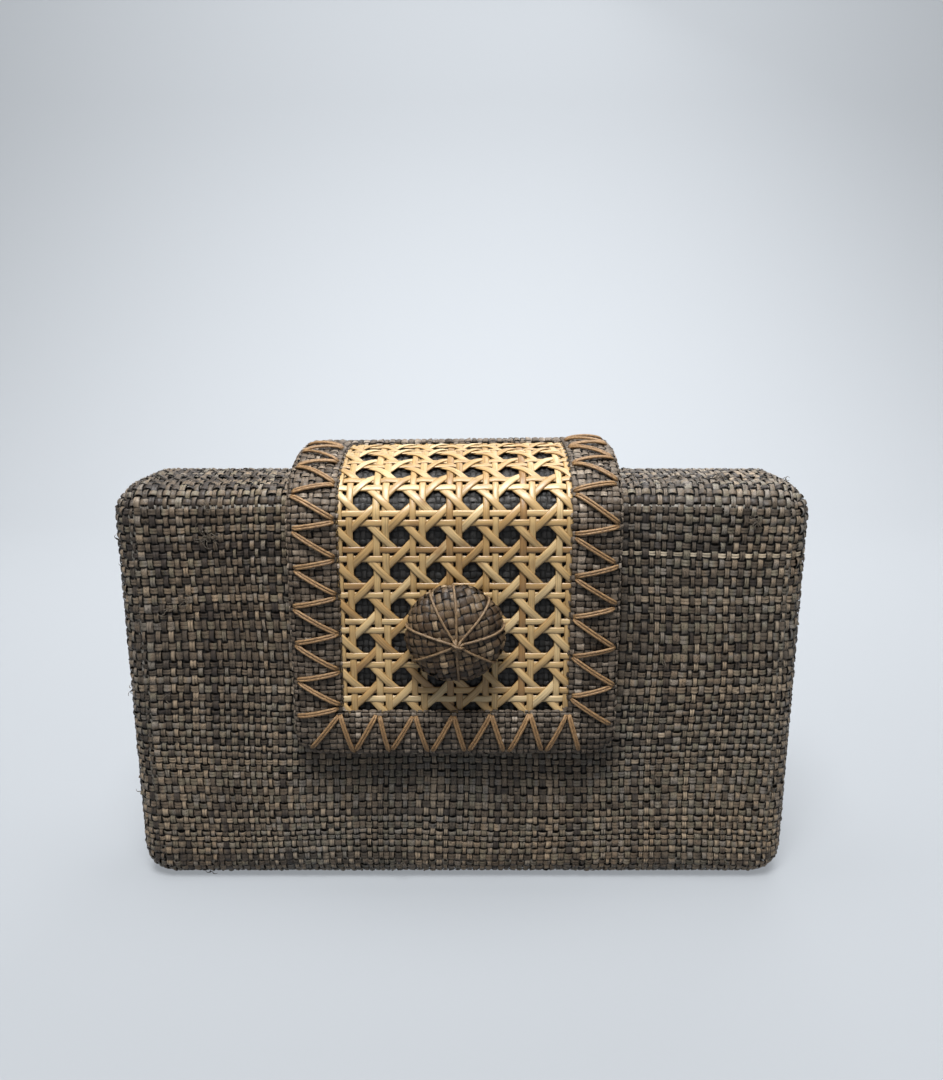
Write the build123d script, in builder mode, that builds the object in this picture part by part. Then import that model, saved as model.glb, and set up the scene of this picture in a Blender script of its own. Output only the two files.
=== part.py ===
from build123d import *

import os
from math import atan2, cos, degrees, hypot, radians, sin, sqrt, tan

# A raffia clutch: a box of two raffia-covered trays, closed by a cane-fronted band with a knob.
# Millimetres. X runs along the bag, the front looks along -Y, +Z is up.
# The origin is on the ground under the middle of the box.

# Box
body_width = 250.0
body_depth = 48.0
body_height = 156.0
edge_round = 10.0
top_corner = 10.6
bottom_corner = 16.0
front_depth = 18.0
seam_gap = 0.6

# Layers of the box wall, from the outside in
cover_thick = 1.4
board_thick = 2.2
board_bevel = 6.0
board_top_corner = 7.0
board_bottom_corner = 9.0
lining_thick = 0.8
layer_gap = 0.05
rim_setback = 0.8

# Cloth hinge inside the bottom seam
strip_length = 200.0
strip_width = 16.0
strip_thick = 0.6

# Band: its outline seen from the side, at the outer face of the binding
flap_width = 117.0
flap_shift = -2.4
flap_foot = 60.0
flap_corner = 10.0
back_gap = 0.8
brow_gap = 0.9
rise_angle = 20.0
crest_rise = 11.2
brow_radius = 20.0
crest_radius = 60.0
rear_radius = 13.0
fold_drop = 6.0
fold_gap = 0.3

# Layers of the band, from the outside in
binding_thick = 1.5
cane_ridge = 0.3
cane_thick = 0.8
base_thick = 0.6
core_thick = 1.4
flap_lining_thick = 0.6
turn_thick = 0.7

# Binding round the band's edge
border_width = 17.3
border_height = 15.6
binding_wall = 1.2
binding_bevel = 2.0
turn_width = 12.0

# Tail that holds the band to the back
tail_length = 38.0
tail_bevel = 2.0
tail_stitch_inset = 3.5

# Cane webbing
cane_tuck = 4.0
cane_pitch = 12.7
cane_row_pitch = 13.1
cane_first_row = 11.9
cane_hole = 7.0
hole_sides = 8
strand_width = 1.9
strand_step = 3.0

# Zigzag stitches
thread_width = 1.3
thread_height = 0.7
left_start = 14.0
left_pitch = 13.8
left_lean_share = 0.27
right_start = 10.8
right_pitch = 14.9
right_lean_share = 0.73
foot_pitch = 13.7
foot_lean_share = 0.32
corner_stitch = 11.2
tail_pitch = 12.9
stitch_edge = 3.2
stitch_break = 3.6

# Knob
knob_row = 1.5
knob_apothem = 16.4
knob_foot = 12.5
knob_waist = 6.0
knob_dome = 9.5
flank_out_share = 0.75
flank_up_share = 0.35
knob_sides = 8
dome_runs = 13
knob_cover_thick = 1.0
knob_mouth = 10.8
knob_thread_width = 1.2
knob_thread_height = 0.8
knob_thread_lift = 0.2
knob_thread_low = -10.0
knob_thread_high = 72.0
knob_thread_runs = 5
knot_radius = 3.0
knot_height = 1.6
tie_width = 1.6

# Magnetic snap
snap_margin = 7.0
snap_radius = 7.0
snap_thick = 1.2
snap_sides = 24
snap_air = 1.0

# One overrun for every cut
overrun = 2.0

# Planes of the box
front_face = -body_depth / 2
back_face = body_depth / 2
seam = front_face + front_depth
front_rim = seam - seam_gap / 2
back_rim = seam + seam_gap / 2
bevel_share = 2 - sqrt(2)
board_inset = cover_thick + layer_gap
hollow_inset = board_inset + board_thick
lining_inset = hollow_inset + layer_gap
cavity_inset = lining_inset + lining_thick

# Depths of the band's layers below the binding's outer face
cane_top = binding_thick + layer_gap
cane_face = cane_top + cane_ridge
cane_under = cane_face + cane_thick
base_top = cane_under + layer_gap
base_under = base_top + base_thick
core_top = base_under + layer_gap
core_under = core_top + core_thick
lining_top = core_under + layer_gap
lining_under = lining_top + flap_lining_thick
turn_top = lining_under + layer_gap
band_thick = turn_top + turn_thick

# Corners of the band's outline: the snap sets its front, and the box's soft edge sets its brow
rise = radians(rise_angle)
snap_space = 2 * (layer_gap + snap_thick) + snap_air
flap_front = front_face - snap_space - lining_under
flap_back = back_face + back_gap + band_thick
brow_fall_share = tan(radians(45) - rise / 2)
crest_slip_share = tan(rise / 2)
edge_reach = flap_front + band_thick - front_face - edge_round
brow_lift = (edge_round + brow_gap + edge_reach * sin(rise)) / cos(rise)
brow_z = body_height - edge_round + band_thick * brow_fall_share + brow_lift
crest_z = body_height + crest_rise
crest_y = flap_front + (crest_z - brow_z) / tan(rise)
fold_z = body_height - fold_drop

# Widths and ends of the band's layers
layer_inset = binding_wall + layer_gap
cane_width = flap_width - 2 * border_width
panel_width = cane_width + 2 * cane_tuck
window_foot = flap_foot + border_height
window_rear = flap_back - rear_radius
panel_foot = window_foot - cane_tuck

# Height of the snap, clear of the band's turned edge
snap_height = flap_foot + turn_width + snap_margin + snap_radius

# Place of the knob, in the middle of four cane holes
knob_z = window_foot + cane_first_row + knob_row * cane_row_pitch
knob_seat = flap_front + cane_top - layer_gap
facet_turn = 360.0 / knob_sides
ridge_side = knob_apothem / cos(radians(facet_turn / 2))
dome_turn = 180.0 / dome_runs
crown_share = cos(radians(dome_turn / 2))


def write(part, name):
    """Label a finished piece and write it to its own file."""
    part.label = name
    export_step(part, f"parts/{name}.step")


def box_outline(rim):
    """The box seen from the front, on the plane of a rim."""
    with BuildSketch(Plane.XZ.offset(-rim)) as outline:
        with Locations((0, body_height / 2)):
            Rectangle(body_width, body_height)
        fillet(outline.vertices().group_by(Axis.Y)[-1], radius=top_corner)
        fillet(outline.vertices().group_by(Axis.Y)[0], radius=bottom_corner)
    return outline.sketch


def face_edges(part, rim, face):
    """The edges round the closed face of a tray."""
    across = part.faces().filter_by(Axis.Y).sort_by(Axis.Y)
    return (across[0] if face < rim else across[-1]).edges()


def tray_depth(inset, rim, face):
    """How far a tray's filling runs towards -Y, from its rim to an inset from its face."""
    depth = rim - face
    return depth - inset if depth > 0 else depth + inset


def board_block(inset, rim, face):
    """The space under an inset of a tray's wall, with bevels that keep the wall even."""
    shrink = bevel_share * (inset - cover_thick)
    with BuildPart() as block:
        with BuildSketch(Plane.XZ.offset(-rim)) as outline:
            with Locations((0, body_height / 2)):
                Rectangle(body_width - 2 * inset, body_height - 2 * inset)
            upper, lower = outline.vertices().group_by(Axis.Y)[-1], outline.vertices().group_by(Axis.Y)[0]
            chamfer(upper, length=board_top_corner - shrink)
            chamfer(lower, length=board_bottom_corner - shrink)
        extrude(amount=tray_depth(inset, rim, face))
        chamfer(face_edges(block, rim, face), length=board_bevel - shrink)
    return block.part


def cover_tray(rim, face):
    """Raffia cloth over one tray, with a soft outer edge."""
    with BuildPart() as cover:
        extrude(box_outline(rim), amount=rim - face)
        fillet(face_edges(cover, rim, face), radius=edge_round)
        add(board_block(cover_thick, rim, face), mode=Mode.SUBTRACT)
    return cover.part


def wall_tray(outer_inset, inner_inset, rim, face):
    """One inner layer of a tray's wall: its stiff board or its lining."""
    with BuildPart() as wall:
        add(board_block(outer_inset, rim, face))
        add(board_block(inner_inset, rim, face), mode=Mode.SUBTRACT)
    return wall.part


def band_path(depth, foot, end):
    """The band's side outline at a depth below its outer face, from the front foot over to the fold."""
    corners = [
        (flap_front + depth, foot),
        (flap_front + depth, brow_z - depth * brow_fall_share),
        (crest_y + depth * crest_slip_share, crest_z - depth),
        (flap_back - depth, crest_z - depth),
        (flap_back - depth, end),
    ]
    radii = [brow_radius - depth, crest_radius - depth, rear_radius - depth]
    return FilletPolyline(*corners, radius=radii)


def window_path(depth, foot):
    """The same outline, ended on the crest where the band turns down at the back."""
    corners = [
        (flap_front + depth, foot),
        (flap_front + depth, brow_z - depth * brow_fall_share),
        (crest_y + depth * crest_slip_share, crest_z - depth),
        (window_rear, crest_z - depth),
    ]
    return FilletPolyline(*corners, radius=[brow_radius - depth, crest_radius - depth])


def band_section(outer_depth, inner_depth, foot, end=fold_z):
    """One layer of the whole band seen from the side."""
    with BuildSketch(Plane.YZ.offset(flap_shift)) as section:
        with BuildLine():
            outer = band_path(outer_depth, foot, end)
            inner = band_path(inner_depth, foot, end)
            Line(outer @ 0, inner @ 0)
            Line(outer @ 1, inner @ 1)
        make_face()
    return section.sketch


def window_section(outer_depth, inner_depth, foot):
    """One layer of the band's window seen from the side."""
    with BuildSketch(Plane.YZ.offset(flap_shift)) as section:
        with BuildLine():
            outer = window_path(outer_depth, foot)
            inner = window_path(inner_depth, foot)
            Line(outer @ 0, inner @ 0)
            Line(outer @ 1, inner @ 1)
        make_face()
    return section.sketch


def band_layer(outer_depth, inner_depth, inset, end=fold_z):
    """One layer of the band, drawn in from the band's edge, with rounded lower corners."""
    with BuildPart() as layer:
        section = band_section(outer_depth, inner_depth, flap_foot + inset, end)
        extrude(section, amount=flap_width / 2 - inset, both=True)
        lower = layer.edges().filter_by(Axis.Y).group_by(Axis.Z)[0]
        fillet(lower, radius=flap_corner - inset)
    return layer.part


def band_plane(line, run, across):
    """The plane that touches the band at a run along a line and a place across, facing out."""
    point = line.position_at(run, PositionMode.LENGTH)
    along = line.tangent_at(run, PositionMode.LENGTH)
    origin = (flap_shift + across, point.Y, point.Z)
    return Plane(origin=origin, x_dir=(1, 0, 0), z_dir=Vector(1, 0, 0).cross(along))


def stitch(line, start, end):
    """One straight thread on the band, between two places given as (across, run)."""
    across = end[0] - start[0]
    along = end[1] - start[1]
    length = hypot(across, along) - stitch_break
    middle = band_plane(line, (start[1] + end[1]) / 2, (start[0] + end[0]) / 2)
    with BuildSketch(middle) as thread:
        Rectangle(length, thread_width, rotation=degrees(atan2(along, across)))
    return thread.sketch


def front_plane(y, z):
    """A plane that faces the front, at a depth and a height on the band's middle line."""
    return Plane(origin=(flap_shift, y, z), x_dir=(1, 0, 0), z_dir=(0, -1, 0))


def knob_section(turn, inset):
    """The knob's side outline on a plane through its axis, turned about that axis, an inset under its skin."""
    sideways = (cos(radians(turn)), sin(radians(turn)), 0)
    outward = (sin(radians(turn)), -cos(radians(turn)), 0)
    side = knob_apothem - inset
    foot = knob_foot - inset
    crown = (knob_dome - inset) / crown_share
    flank = (side - foot) * flank_out_share + foot
    dome = [
        (side * cos(radians(run * dome_turn)), knob_waist + crown * sin(radians(run * dome_turn)))
        for run in range(dome_runs + 1)
    ]
    flank_up = (knob_waist - inset) * flank_up_share + inset
    with BuildSketch(Plane(origin=(0, 0, 0), x_dir=sideways, z_dir=outward)) as section:
        with BuildLine():
            Polyline(*dome, (-flank, flank_up), (-foot, inset), (foot, inset), (flank, flank_up), close=True)
        make_face()
    return section.sketch


def gored_block(inset):
    """An eight-sided dome: the knob's outline carried straight through it in four directions."""
    with BuildPart() as block:
        extrude(knob_section(facet_turn / 2, inset), amount=knob_apothem + overrun, both=True)
        for facet in range(1, knob_sides // 2):
            section = knob_section(facet_turn / 2 + facet * facet_turn, inset)
            extrude(section, amount=knob_apothem + overrun, both=True, mode=Mode.INTERSECT)
    return block.part


def knob_thread():
    """One flat thread laid over a ridge of the knob, from its foot towards the pole."""
    turns = [
        radians(knob_thread_low + (knob_thread_high - knob_thread_low) * run / knob_thread_runs)
        for run in range(knob_thread_runs + 1)
    ]
    lift = knob_thread_lift + knob_thread_height / 2
    places = [
        ((ridge_side + lift) * cos(turn), 0, knob_waist + (knob_dome + lift) * sin(turn))
        for turn in turns
    ]
    with BuildPart() as thread:
        with BuildLine() as route:
            Polyline(*places)
        start = Plane(origin=route.line @ 0, x_dir=(0, 1, 0), z_dir=route.line % 0)
        with BuildSketch(start):
            Rectangle(knob_thread_width, knob_thread_height)
        sweep(path=route.line, transition=Transition.RIGHT)
    return thread.part


os.makedirs("parts", exist_ok=True)

# Raffia covers, boards and linings of the two trays
with BuildPart() as front_cover:
    add(cover_tray(front_rim, front_face))
write(front_cover.part, "front_cover")

with BuildPart() as back_cover:
    add(cover_tray(back_rim, back_face))
write(back_cover.part, "back_cover")

with BuildPart() as front_board:
    add(wall_tray(board_inset, hollow_inset, front_rim - rim_setback, front_face))
write(front_board.part, "front_board")

with BuildPart() as back_board:
    add(wall_tray(board_inset, hollow_inset, back_rim + rim_setback, back_face))
write(back_board.part, "back_board")

with BuildPart() as front_lining:
    add(wall_tray(lining_inset, cavity_inset, front_rim - rim_setback, front_face))
write(front_lining.part, "front_lining")

with BuildPart() as back_lining:
    add(wall_tray(lining_inset, cavity_inset, back_rim + rim_setback, back_face))
write(back_lining.part, "back_lining")

# Cloth strip across the bottom seam, on which the front tray swings down
with BuildPart() as hinge_strip:
    with BuildSketch(Plane.XY.offset(cavity_inset + layer_gap)):
        with Locations((0, seam)):
            Rectangle(strip_length, strip_width)
    extrude(amount=strip_thick)
write(hinge_strip.part, "hinge_strip")

# Binding: a padded raffia strip folded round the band's edge, open over the cane and the lining
with BuildPart() as flap_binding:
    add(band_layer(0, band_thick, 0))
    with BuildLine(Plane.YZ.offset(flap_shift)) as binding_route:
        band_path(0, flap_foot, fold_z)
    binding_line = binding_route.wire()
    rim = flap_binding.edges().filter_by(Axis.Y, reverse=True)
    for row in rim.filter_by(Axis.X).group_by(Axis.Z)[1:]:
        rim = rim - row
    outer_rim = rim.filter_by(
        lambda edge: binding_line.distance_to(Vector(flap_shift, edge.center().Y, edge.center().Z)) < layer_gap
    )
    chamfer(outer_rim, length=binding_bevel)
    add(
        band_layer(base_top - layer_gap, turn_top, binding_wall, fold_z - overrun),
        mode=Mode.SUBTRACT,
    )
    extrude(
        window_section(binding_thick, base_top, panel_foot - layer_gap),
        amount=panel_width / 2 + layer_gap,
        both=True,
        mode=Mode.SUBTRACT,
    )
    extrude(
        window_section(-overrun, base_top, window_foot),
        amount=cane_width / 2,
        both=True,
        mode=Mode.SUBTRACT,
    )
    extrude(
        band_section(lining_under, band_thick + overrun, flap_foot + turn_width, fold_z - overrun),
        amount=flap_width / 2 - turn_width,
        both=True,
        mode=Mode.SUBTRACT,
    )
write(flap_binding.part, "flap_binding")

# Layers inside the binding: raffia base under the cane, stiff core and lining
with BuildPart() as flap_base:
    add(band_layer(base_top, base_under, layer_inset))
write(flap_base.part, "flap_base")

with BuildPart() as flap_core:
    add(band_layer(core_top, core_under, layer_inset))
write(flap_core.part, "flap_core")

with BuildPart() as flap_lining:
    add(band_layer(lining_top, lining_under, layer_inset))
write(flap_lining.part, "flap_lining")

# Cane webbing: a sheet pierced by eight-sided holes, with pairs of strands raised between the rows
with BuildLine(Plane.YZ.offset(flap_shift)) as cane_route:
    window_path(cane_face, panel_foot)
cane_line = cane_route.wire()
hole_columns = int(cane_width // cane_pitch)
first_row = cane_tuck + cane_first_row
row_count = int((cane_line.length - first_row - cane_hole / 2) // cane_row_pitch) + 1
hole_planes = [band_plane(cane_line, first_row + row * cane_row_pitch, 0) for row in range(row_count)]
strand_planes = [
    band_plane(cane_line, first_row + (row - 1 / 2) * cane_row_pitch + side * strand_step / 2, 0)
    for row in range(row_count)
    for side in (-1, 1)
]
with BuildPart() as cane_panel:
    extrude(window_section(cane_face, cane_under, panel_foot), amount=panel_width / 2, both=True)
    with BuildSketch(*strand_planes):
        Rectangle(panel_width, strand_width)
    extrude(amount=cane_ridge, both=True)
    with BuildSketch(*hole_planes):
        with GridLocations(cane_pitch, 0, hole_columns, 1):
            RegularPolygon(cane_hole / 2, hole_sides, major_radius=False, rotation=180 / hole_sides)
    extrude(amount=overrun, both=True, mode=Mode.SUBTRACT)
write(cane_panel.part, "cane_panel")

# Zigzag threads over both side borders and the lower border
inner_side = cane_width / 2 + thread_width
outer_side = flap_width / 2 - stitch_edge
upper_run = border_height - thread_width
side_rows = (
    (-outer_side, -inner_side, left_start, left_pitch, left_lean_share),
    (outer_side, inner_side, right_start, right_pitch, right_lean_share),
)
foot_count = round(cane_width / foot_pitch)
foot_step = cane_width / foot_count
foot_heads = [(step * foot_step - cane_width / 2, upper_run) for step in range(foot_count + 1)]
foot_toes = [(across + foot_lean_share * foot_step, stitch_edge) for across, run in foot_heads]
corner_toe = (foot_heads[0][0] - corner_stitch, stitch_edge)
stitch_ends = [*zip(foot_heads, foot_toes), *zip(foot_toes, foot_heads[1:]), (foot_heads[0], corner_toe)]
for outer, inner, start, pitch, lean_share in side_rows:
    for step in range(int((binding_line.length - start - stitch_edge) // pitch)):
        low = (outer, start + step * pitch)
        tip = (inner, low[1] + lean_share * pitch)
        stitch_ends += [(low, tip), (tip, (outer, low[1] + pitch))]
with BuildPart() as border_stitches:
    for ends in stitch_ends:
        extrude(stitch(binding_line, *ends), amount=thread_height)
write(border_stitches.part, "border_stitches")

# Tail of the band, sewn flat on the back of the box
tail_top = fold_z - fold_gap
tail_face = back_face + layer_gap
with BuildPart() as flap_tail:
    with BuildSketch(Plane.XZ.offset(-flap_back)) as tail_outline:
        with Locations((flap_shift, tail_top - tail_length / 2)):
            Rectangle(flap_width, tail_length)
        fillet(tail_outline.vertices().group_by(Axis.Y)[0], radius=flap_corner)
    extrude(amount=flap_back - tail_face)
    tail_rim = flap_tail.faces().filter_by(Axis.Y).sort_by(Axis.Y)[-1].edges()
    tail_rim = tail_rim - tail_rim.filter_by(Axis.X).sort_by(Axis.Z)[-1:]
    chamfer(tail_rim, length=tail_bevel)
write(flap_tail.part, "flap_tail")

# Running stitches along the foot of the tail
tail_across = flap_width - 2 * (flap_corner + tail_stitch_inset)
tail_count = int(tail_across // tail_pitch)
with BuildPart() as tail_stitches:
    with BuildSketch(Plane.XZ.offset(-flap_back)):
        with Locations((flap_shift, tail_top - tail_length + tail_bevel + tail_stitch_inset)):
            with GridLocations(tail_across / tail_count, 0, tail_count, 1):
                Rectangle(tail_pitch / 2, thread_width)
    extrude(amount=-thread_height)
write(tail_stitches.part, "tail_stitches")

# Knob: an eight-sided block under a gored raffia cover, with threads that meet in a knot
with BuildPart() as knob_core:
    with Locations(front_plane(knob_seat, knob_z)):
        add(gored_block(knob_cover_thick + layer_gap))
write(knob_core.part, "knob_core")

with BuildPart() as knob_cover:
    with Locations(front_plane(knob_seat, knob_z)):
        add(gored_block(0))
        add(gored_block(knob_cover_thick), mode=Mode.SUBTRACT)
    with BuildSketch(front_plane(knob_seat + overrun, knob_z)):
        RegularPolygon(knob_mouth, knob_sides, major_radius=False)
    extrude(amount=2 * overrun, mode=Mode.SUBTRACT)
write(knob_cover.part, "knob_cover")

with BuildPart() as knob_threads:
    with Locations(front_plane(knob_seat, knob_z)):
        with PolarLocations(0, knob_sides):
            add(knob_thread())
write(knob_threads.part, "knob_threads")

with BuildPart() as knob_knot:
    with BuildSketch(front_plane(knob_seat - knob_waist - knob_dome - layer_gap, knob_z)):
        RegularPolygon(knot_radius, knob_sides)
    extrude(amount=knot_height)
write(knob_knot.part, "knob_knot")

# Four thread legs that sew the knob on through the cane holes round its middle
with BuildPart() as knob_ties:
    with BuildSketch(front_plane(flap_front + base_top - layer_gap, knob_z)):
        with GridLocations(cane_pitch, cane_row_pitch, 2, 2):
            Rectangle(tie_width, tie_width)
    extrude(amount=base_top - cane_top + knob_cover_thick)
write(knob_ties.part, "knob_ties")

# Two halves of the snap, one on the front of the box and one on the band's lining
with BuildPart() as front_snap:
    with BuildSketch(front_plane(front_face - layer_gap, snap_height)):
        RegularPolygon(snap_radius, snap_sides)
    extrude(amount=snap_thick)
write(front_snap.part, "front_snap")

with BuildPart() as flap_snap:
    with BuildSketch(front_plane(flap_front + lining_under + layer_gap, snap_height)):
        RegularPolygon(snap_radius, snap_sides)
    extrude(amount=-snap_thick)
write(flap_snap.part, "flap_snap")
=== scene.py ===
"""Looks of a raffia clutch, dressed over its packed frame."""

import math

import bpy
import numpy as np
from bpy.props import FloatProperty, FloatVectorProperty, IntProperty, PointerProperty
from bpy.types import Operator, Panel, PropertyGroup
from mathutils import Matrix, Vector


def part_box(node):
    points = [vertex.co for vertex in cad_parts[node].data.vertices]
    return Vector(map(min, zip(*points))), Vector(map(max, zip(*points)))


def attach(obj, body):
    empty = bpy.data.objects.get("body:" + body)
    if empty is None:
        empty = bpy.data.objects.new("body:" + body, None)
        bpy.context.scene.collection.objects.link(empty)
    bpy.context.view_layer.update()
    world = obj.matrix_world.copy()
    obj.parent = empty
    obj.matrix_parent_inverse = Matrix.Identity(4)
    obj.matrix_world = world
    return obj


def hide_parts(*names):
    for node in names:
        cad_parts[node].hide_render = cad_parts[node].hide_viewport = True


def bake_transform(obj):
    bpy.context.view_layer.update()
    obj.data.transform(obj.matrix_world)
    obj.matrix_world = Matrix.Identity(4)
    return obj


bl_info = {
    "name": "Raffia Clutch",
    "version": (1, 0, 0),
    "blender": (4, 5, 0),
    "location": "View3D > Sidebar > Clutch",
    "description": "Weaves, canes and stitches a raffia clutch over its fixed frame",
    "category": "Object",
}

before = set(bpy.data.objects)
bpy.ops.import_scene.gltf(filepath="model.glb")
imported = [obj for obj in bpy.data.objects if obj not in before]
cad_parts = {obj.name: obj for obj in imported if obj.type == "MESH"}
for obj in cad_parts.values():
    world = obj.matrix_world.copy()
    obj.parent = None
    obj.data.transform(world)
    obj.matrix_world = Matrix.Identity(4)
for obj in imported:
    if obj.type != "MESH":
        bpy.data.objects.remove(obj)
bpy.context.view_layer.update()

# Places of the fixed frame, in metres
FRONT_LOW, FRONT_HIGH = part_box("front_cover")
BACK_LOW, BACK_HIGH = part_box("back_cover")
BAND_LOW, BAND_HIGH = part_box("flap_binding")
TAIL_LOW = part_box("flap_tail")[0]
KNOB_LOW, KNOB_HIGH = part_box("knob_cover")
LINING_LOW, LINING_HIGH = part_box("flap_lining")
# The two trays: name, place of the face and place of the rim
TRAYS = (("front", FRONT_LOW[1], FRONT_HIGH[1]), ("back", BACK_HIGH[1], BACK_LOW[1]))


def length(text, default):
    """A length setting in metres."""
    return FloatProperty(description=text, default=default, unit="LENGTH", precision=5)


def share(text, default):
    """A plain number setting."""
    return FloatProperty(description=text, default=default, precision=4)


def angle(text, default):
    """An angle setting, given in degrees."""
    return FloatProperty(description=text, default=math.radians(default), subtype="ANGLE")


def count(text, default):
    """A whole number setting."""
    return IntProperty(description=text, default=default)


def colour(text, default):
    """A linear colour setting."""
    return FloatVectorProperty(description=text, default=default, subtype="COLOR", size=3, min=0.0, max=1.0)


class TraySettings(PropertyGroup):
    """Raffia cloth over the two trays."""

    edge_round: length("Round between a face and its walls", 0.010)
    top_corner: length("Corner radius of a tray at the top", 0.0106)
    bottom_corner: length("Corner radius of a tray at the bottom", 0.016)
    warp_width: length("Mean width of the upright strips", 0.00174)
    warp_gap: length("Gap between neighbouring upright strips", 0.00066)
    weft_width: length("Mean width of the cross strips", 0.00204)
    weft_gap: length("Gap between neighbouring cross strips", 0.00100)
    opening: share("How much wider apart the cross strips lie at the top", 0.14)
    spread: share("How unevenly wide the strips are", 0.20)
    split_warp: share("Share of the upright strips that are doubled", 0.4)
    split_weft: share("Share of the cross strips that are doubled", 0.75)
    twist: share("How far a strip leans from one float to the next", 0.20)
    rise: length("How far a strip rises over and dips under", 0.00050)
    crown: length("How far a strip is arched across", 0.00019)
    sink: length("Depth of the weave's middle below the frame's face", 0.00068)
    fold_in: length("Cloth turned over the rim of a tray", 0.0011)
    drift: length("How far the strips wander together", 0.0006)
    soften: length("How far the upper corners are pulled in", 0.0020)
    sharpen: length("How far the lower corners are pushed out", 0.0016)
    steps: count("Sections of a strip from one crossing to the next", 3)
    # The backing is a dark sheet of painted shade that shows between the strips
    backing_sink: length("Depth of the backing below the frame's face", 0.00140)
    backing_thick: length("Thickness of the backing cloth", 0.0004)
    back_split: share("Share of the doubled strips that the back tray has", 0.4)
    segments: count("Sections of the backing's rounded edges", 7)


class BandSettings(PropertyGroup):
    """Raffia cloth of the flap's band and border."""

    brow_height: length("Height of the corner where the band leaves the front", 0.15727)
    rise_angle: angle("Slope of the band from the brow to the crest", 20.0)
    brow_radius: length("Round of the band over the front edge", 0.020)
    crest_radius: length("Round of the band onto the crest", 0.060)
    rear_radius: length("Round of the band down the back", 0.013)
    corner: length("Corner radius of the band in the flat", 0.010)
    thick: length("Thickness of the band at its edges", 0.00615)
    outer_roll: length("Round of the band's outer edge", 0.0024)
    inner_roll: length("Round of the edge turned under", 0.0012)
    turn_width: length("Width of cloth turned under the flap", 0.0105)
    window_roll: length("Round of the border down to the cane", 0.0013)
    window_fall: length("Straight fall below that round", 0.0004)
    border_width: length("Width of the border beside the cane", 0.0173)
    border_height: length("Height of the border below the cane", 0.0166)
    hem_drop: length("How far the border's cloth hangs below its frame", 0.0024)
    pad: length("How far the border swells in its middle", 0.0007)
    tilt: length("How far the crest hangs lower on the left", 0.0016)
    fold_height: length("Height of the fold the flap lifts at", 0.150)
    fold_reach: length("Cloth on each side of the fold that bends", 0.0052)
    warp_width: length("Mean width of the strips along the band", 0.00190)
    weft_width: length("Mean width of the strips across the band", 0.00172)
    strip_gap: length("Gap between neighbouring strips", 0.00054)
    spread: share("How unevenly wide the strips are", 0.18)
    split: share("Share of the strips that are doubled", 0.3)
    twist: share("How far a strip leans from one float to the next", 0.16)
    rise: length("How far a strip rises over and dips under", 0.00040)
    crown: length("How far a strip is arched across", 0.00016)
    sink: length("Depth of the weave's middle below the frame's face", 0.00045)
    # The backing is a dark sheet of painted shade that shows between the strips
    backing_sink: length("Depth of the backing below the frame's face", 0.00115)
    base_depth: length("Depth of the cloth under the cane", 0.0033)
    base_tuck: length("How far that cloth is tucked under the border", 0.003)
    steps: count("Sections of a strip from one crossing to the next", 3)
    base_steps: count("Those sections in the cloth under the cane", 2)
    backing_step: length("Distance between the backing's sections", 0.0020)


class CaneSettings(PropertyGroup):
    """Cane webbing let into the flap."""

    pitch: length("Distance between holes across the flap", 0.0127)
    row_pitch: length("Distance between rows of holes", 0.0131)
    columns: count("Holes across the flap", 6)
    rows: count("Rows of holes, the half-hidden ones too", 12)
    first_row: length("Height of the first whole row of holes above the floor", 0.0875)
    depth: length("Depth of the cane's middle below the binding's face", 0.00185)
    strand: length("Width of a paired strand", 0.0024)
    slant_share: share("Width of a slanting strand as a share of a paired one", 1.12)
    strand_thick: length("Thickness of a strand", 0.00066)
    step: length("Distance between the two strands of a pair", 0.0034)
    pair_lift: length("How far paired strands pass over and under", 0.00030)
    slant_lift: length("How far slanting strands pass over and under", 0.00062)
    section: length("Distance between a strand's sections", 0.0016)
    tuck: length("Length of strand tucked under the border", 0.0026)
    wander: length("How far a strand lies off its place", 0.00012)
    uneven: share("How unevenly wide the strands are", 0.05)


class StitchSettings(PropertyGroup):
    """Zigzag of doubled thread around the border."""

    thread: length("Thickness of one thread", 0.00100)
    gap: length("Distance between the two threads of a stitch", 0.00090)
    lift: length("Height of a stitch above the border", 0.00045)
    dive: length("Depth of a stitch where it goes in", 0.0007)
    outer: length("Distance of the outer needle holes from the band's edge", 0.0023)
    inner: length("Distance of the inner needle holes from the cane", 0.0005)
    parting: length("Distance between neighbouring needle holes", 0.0012)
    left_start: length("Run of the first outer hole up the left side", 0.0164)
    left_pitch: length("Distance between stitches up the left side", 0.0138)
    right_start: length("Run of the first outer hole up the right side", 0.0132)
    right_pitch: length("Distance between stitches up the right side", 0.0149)
    foot_count: count("Stitches along the foot", 6)
    lean: share("Share of the pitch between the two holes of a level stitch", 0.28)
    points: count("Sections along one stitch", 15)
    sides: count("Sides of a thread", 7)
    jitter: length("How far a needle hole lies off its place", 0.0003)
    rear_reach: length("How far the stitches run on behind the cane", 0.004)
    corner_in: length("Distance of the corner stitch from the outer holes", 0.0035)
    corner_up: length("Height of the corner stitch above the lower holes", 0.0012)
    tail_length: length("Length of a running stitch", 0.0062)
    tail_gap: length("Gap between running stitches", 0.0026)
    tail_margin: length("Height of the running stitches above the tail's end", 0.006)
    tail_slack: length("How far the last running stitch may overrun", 0.001)


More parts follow.
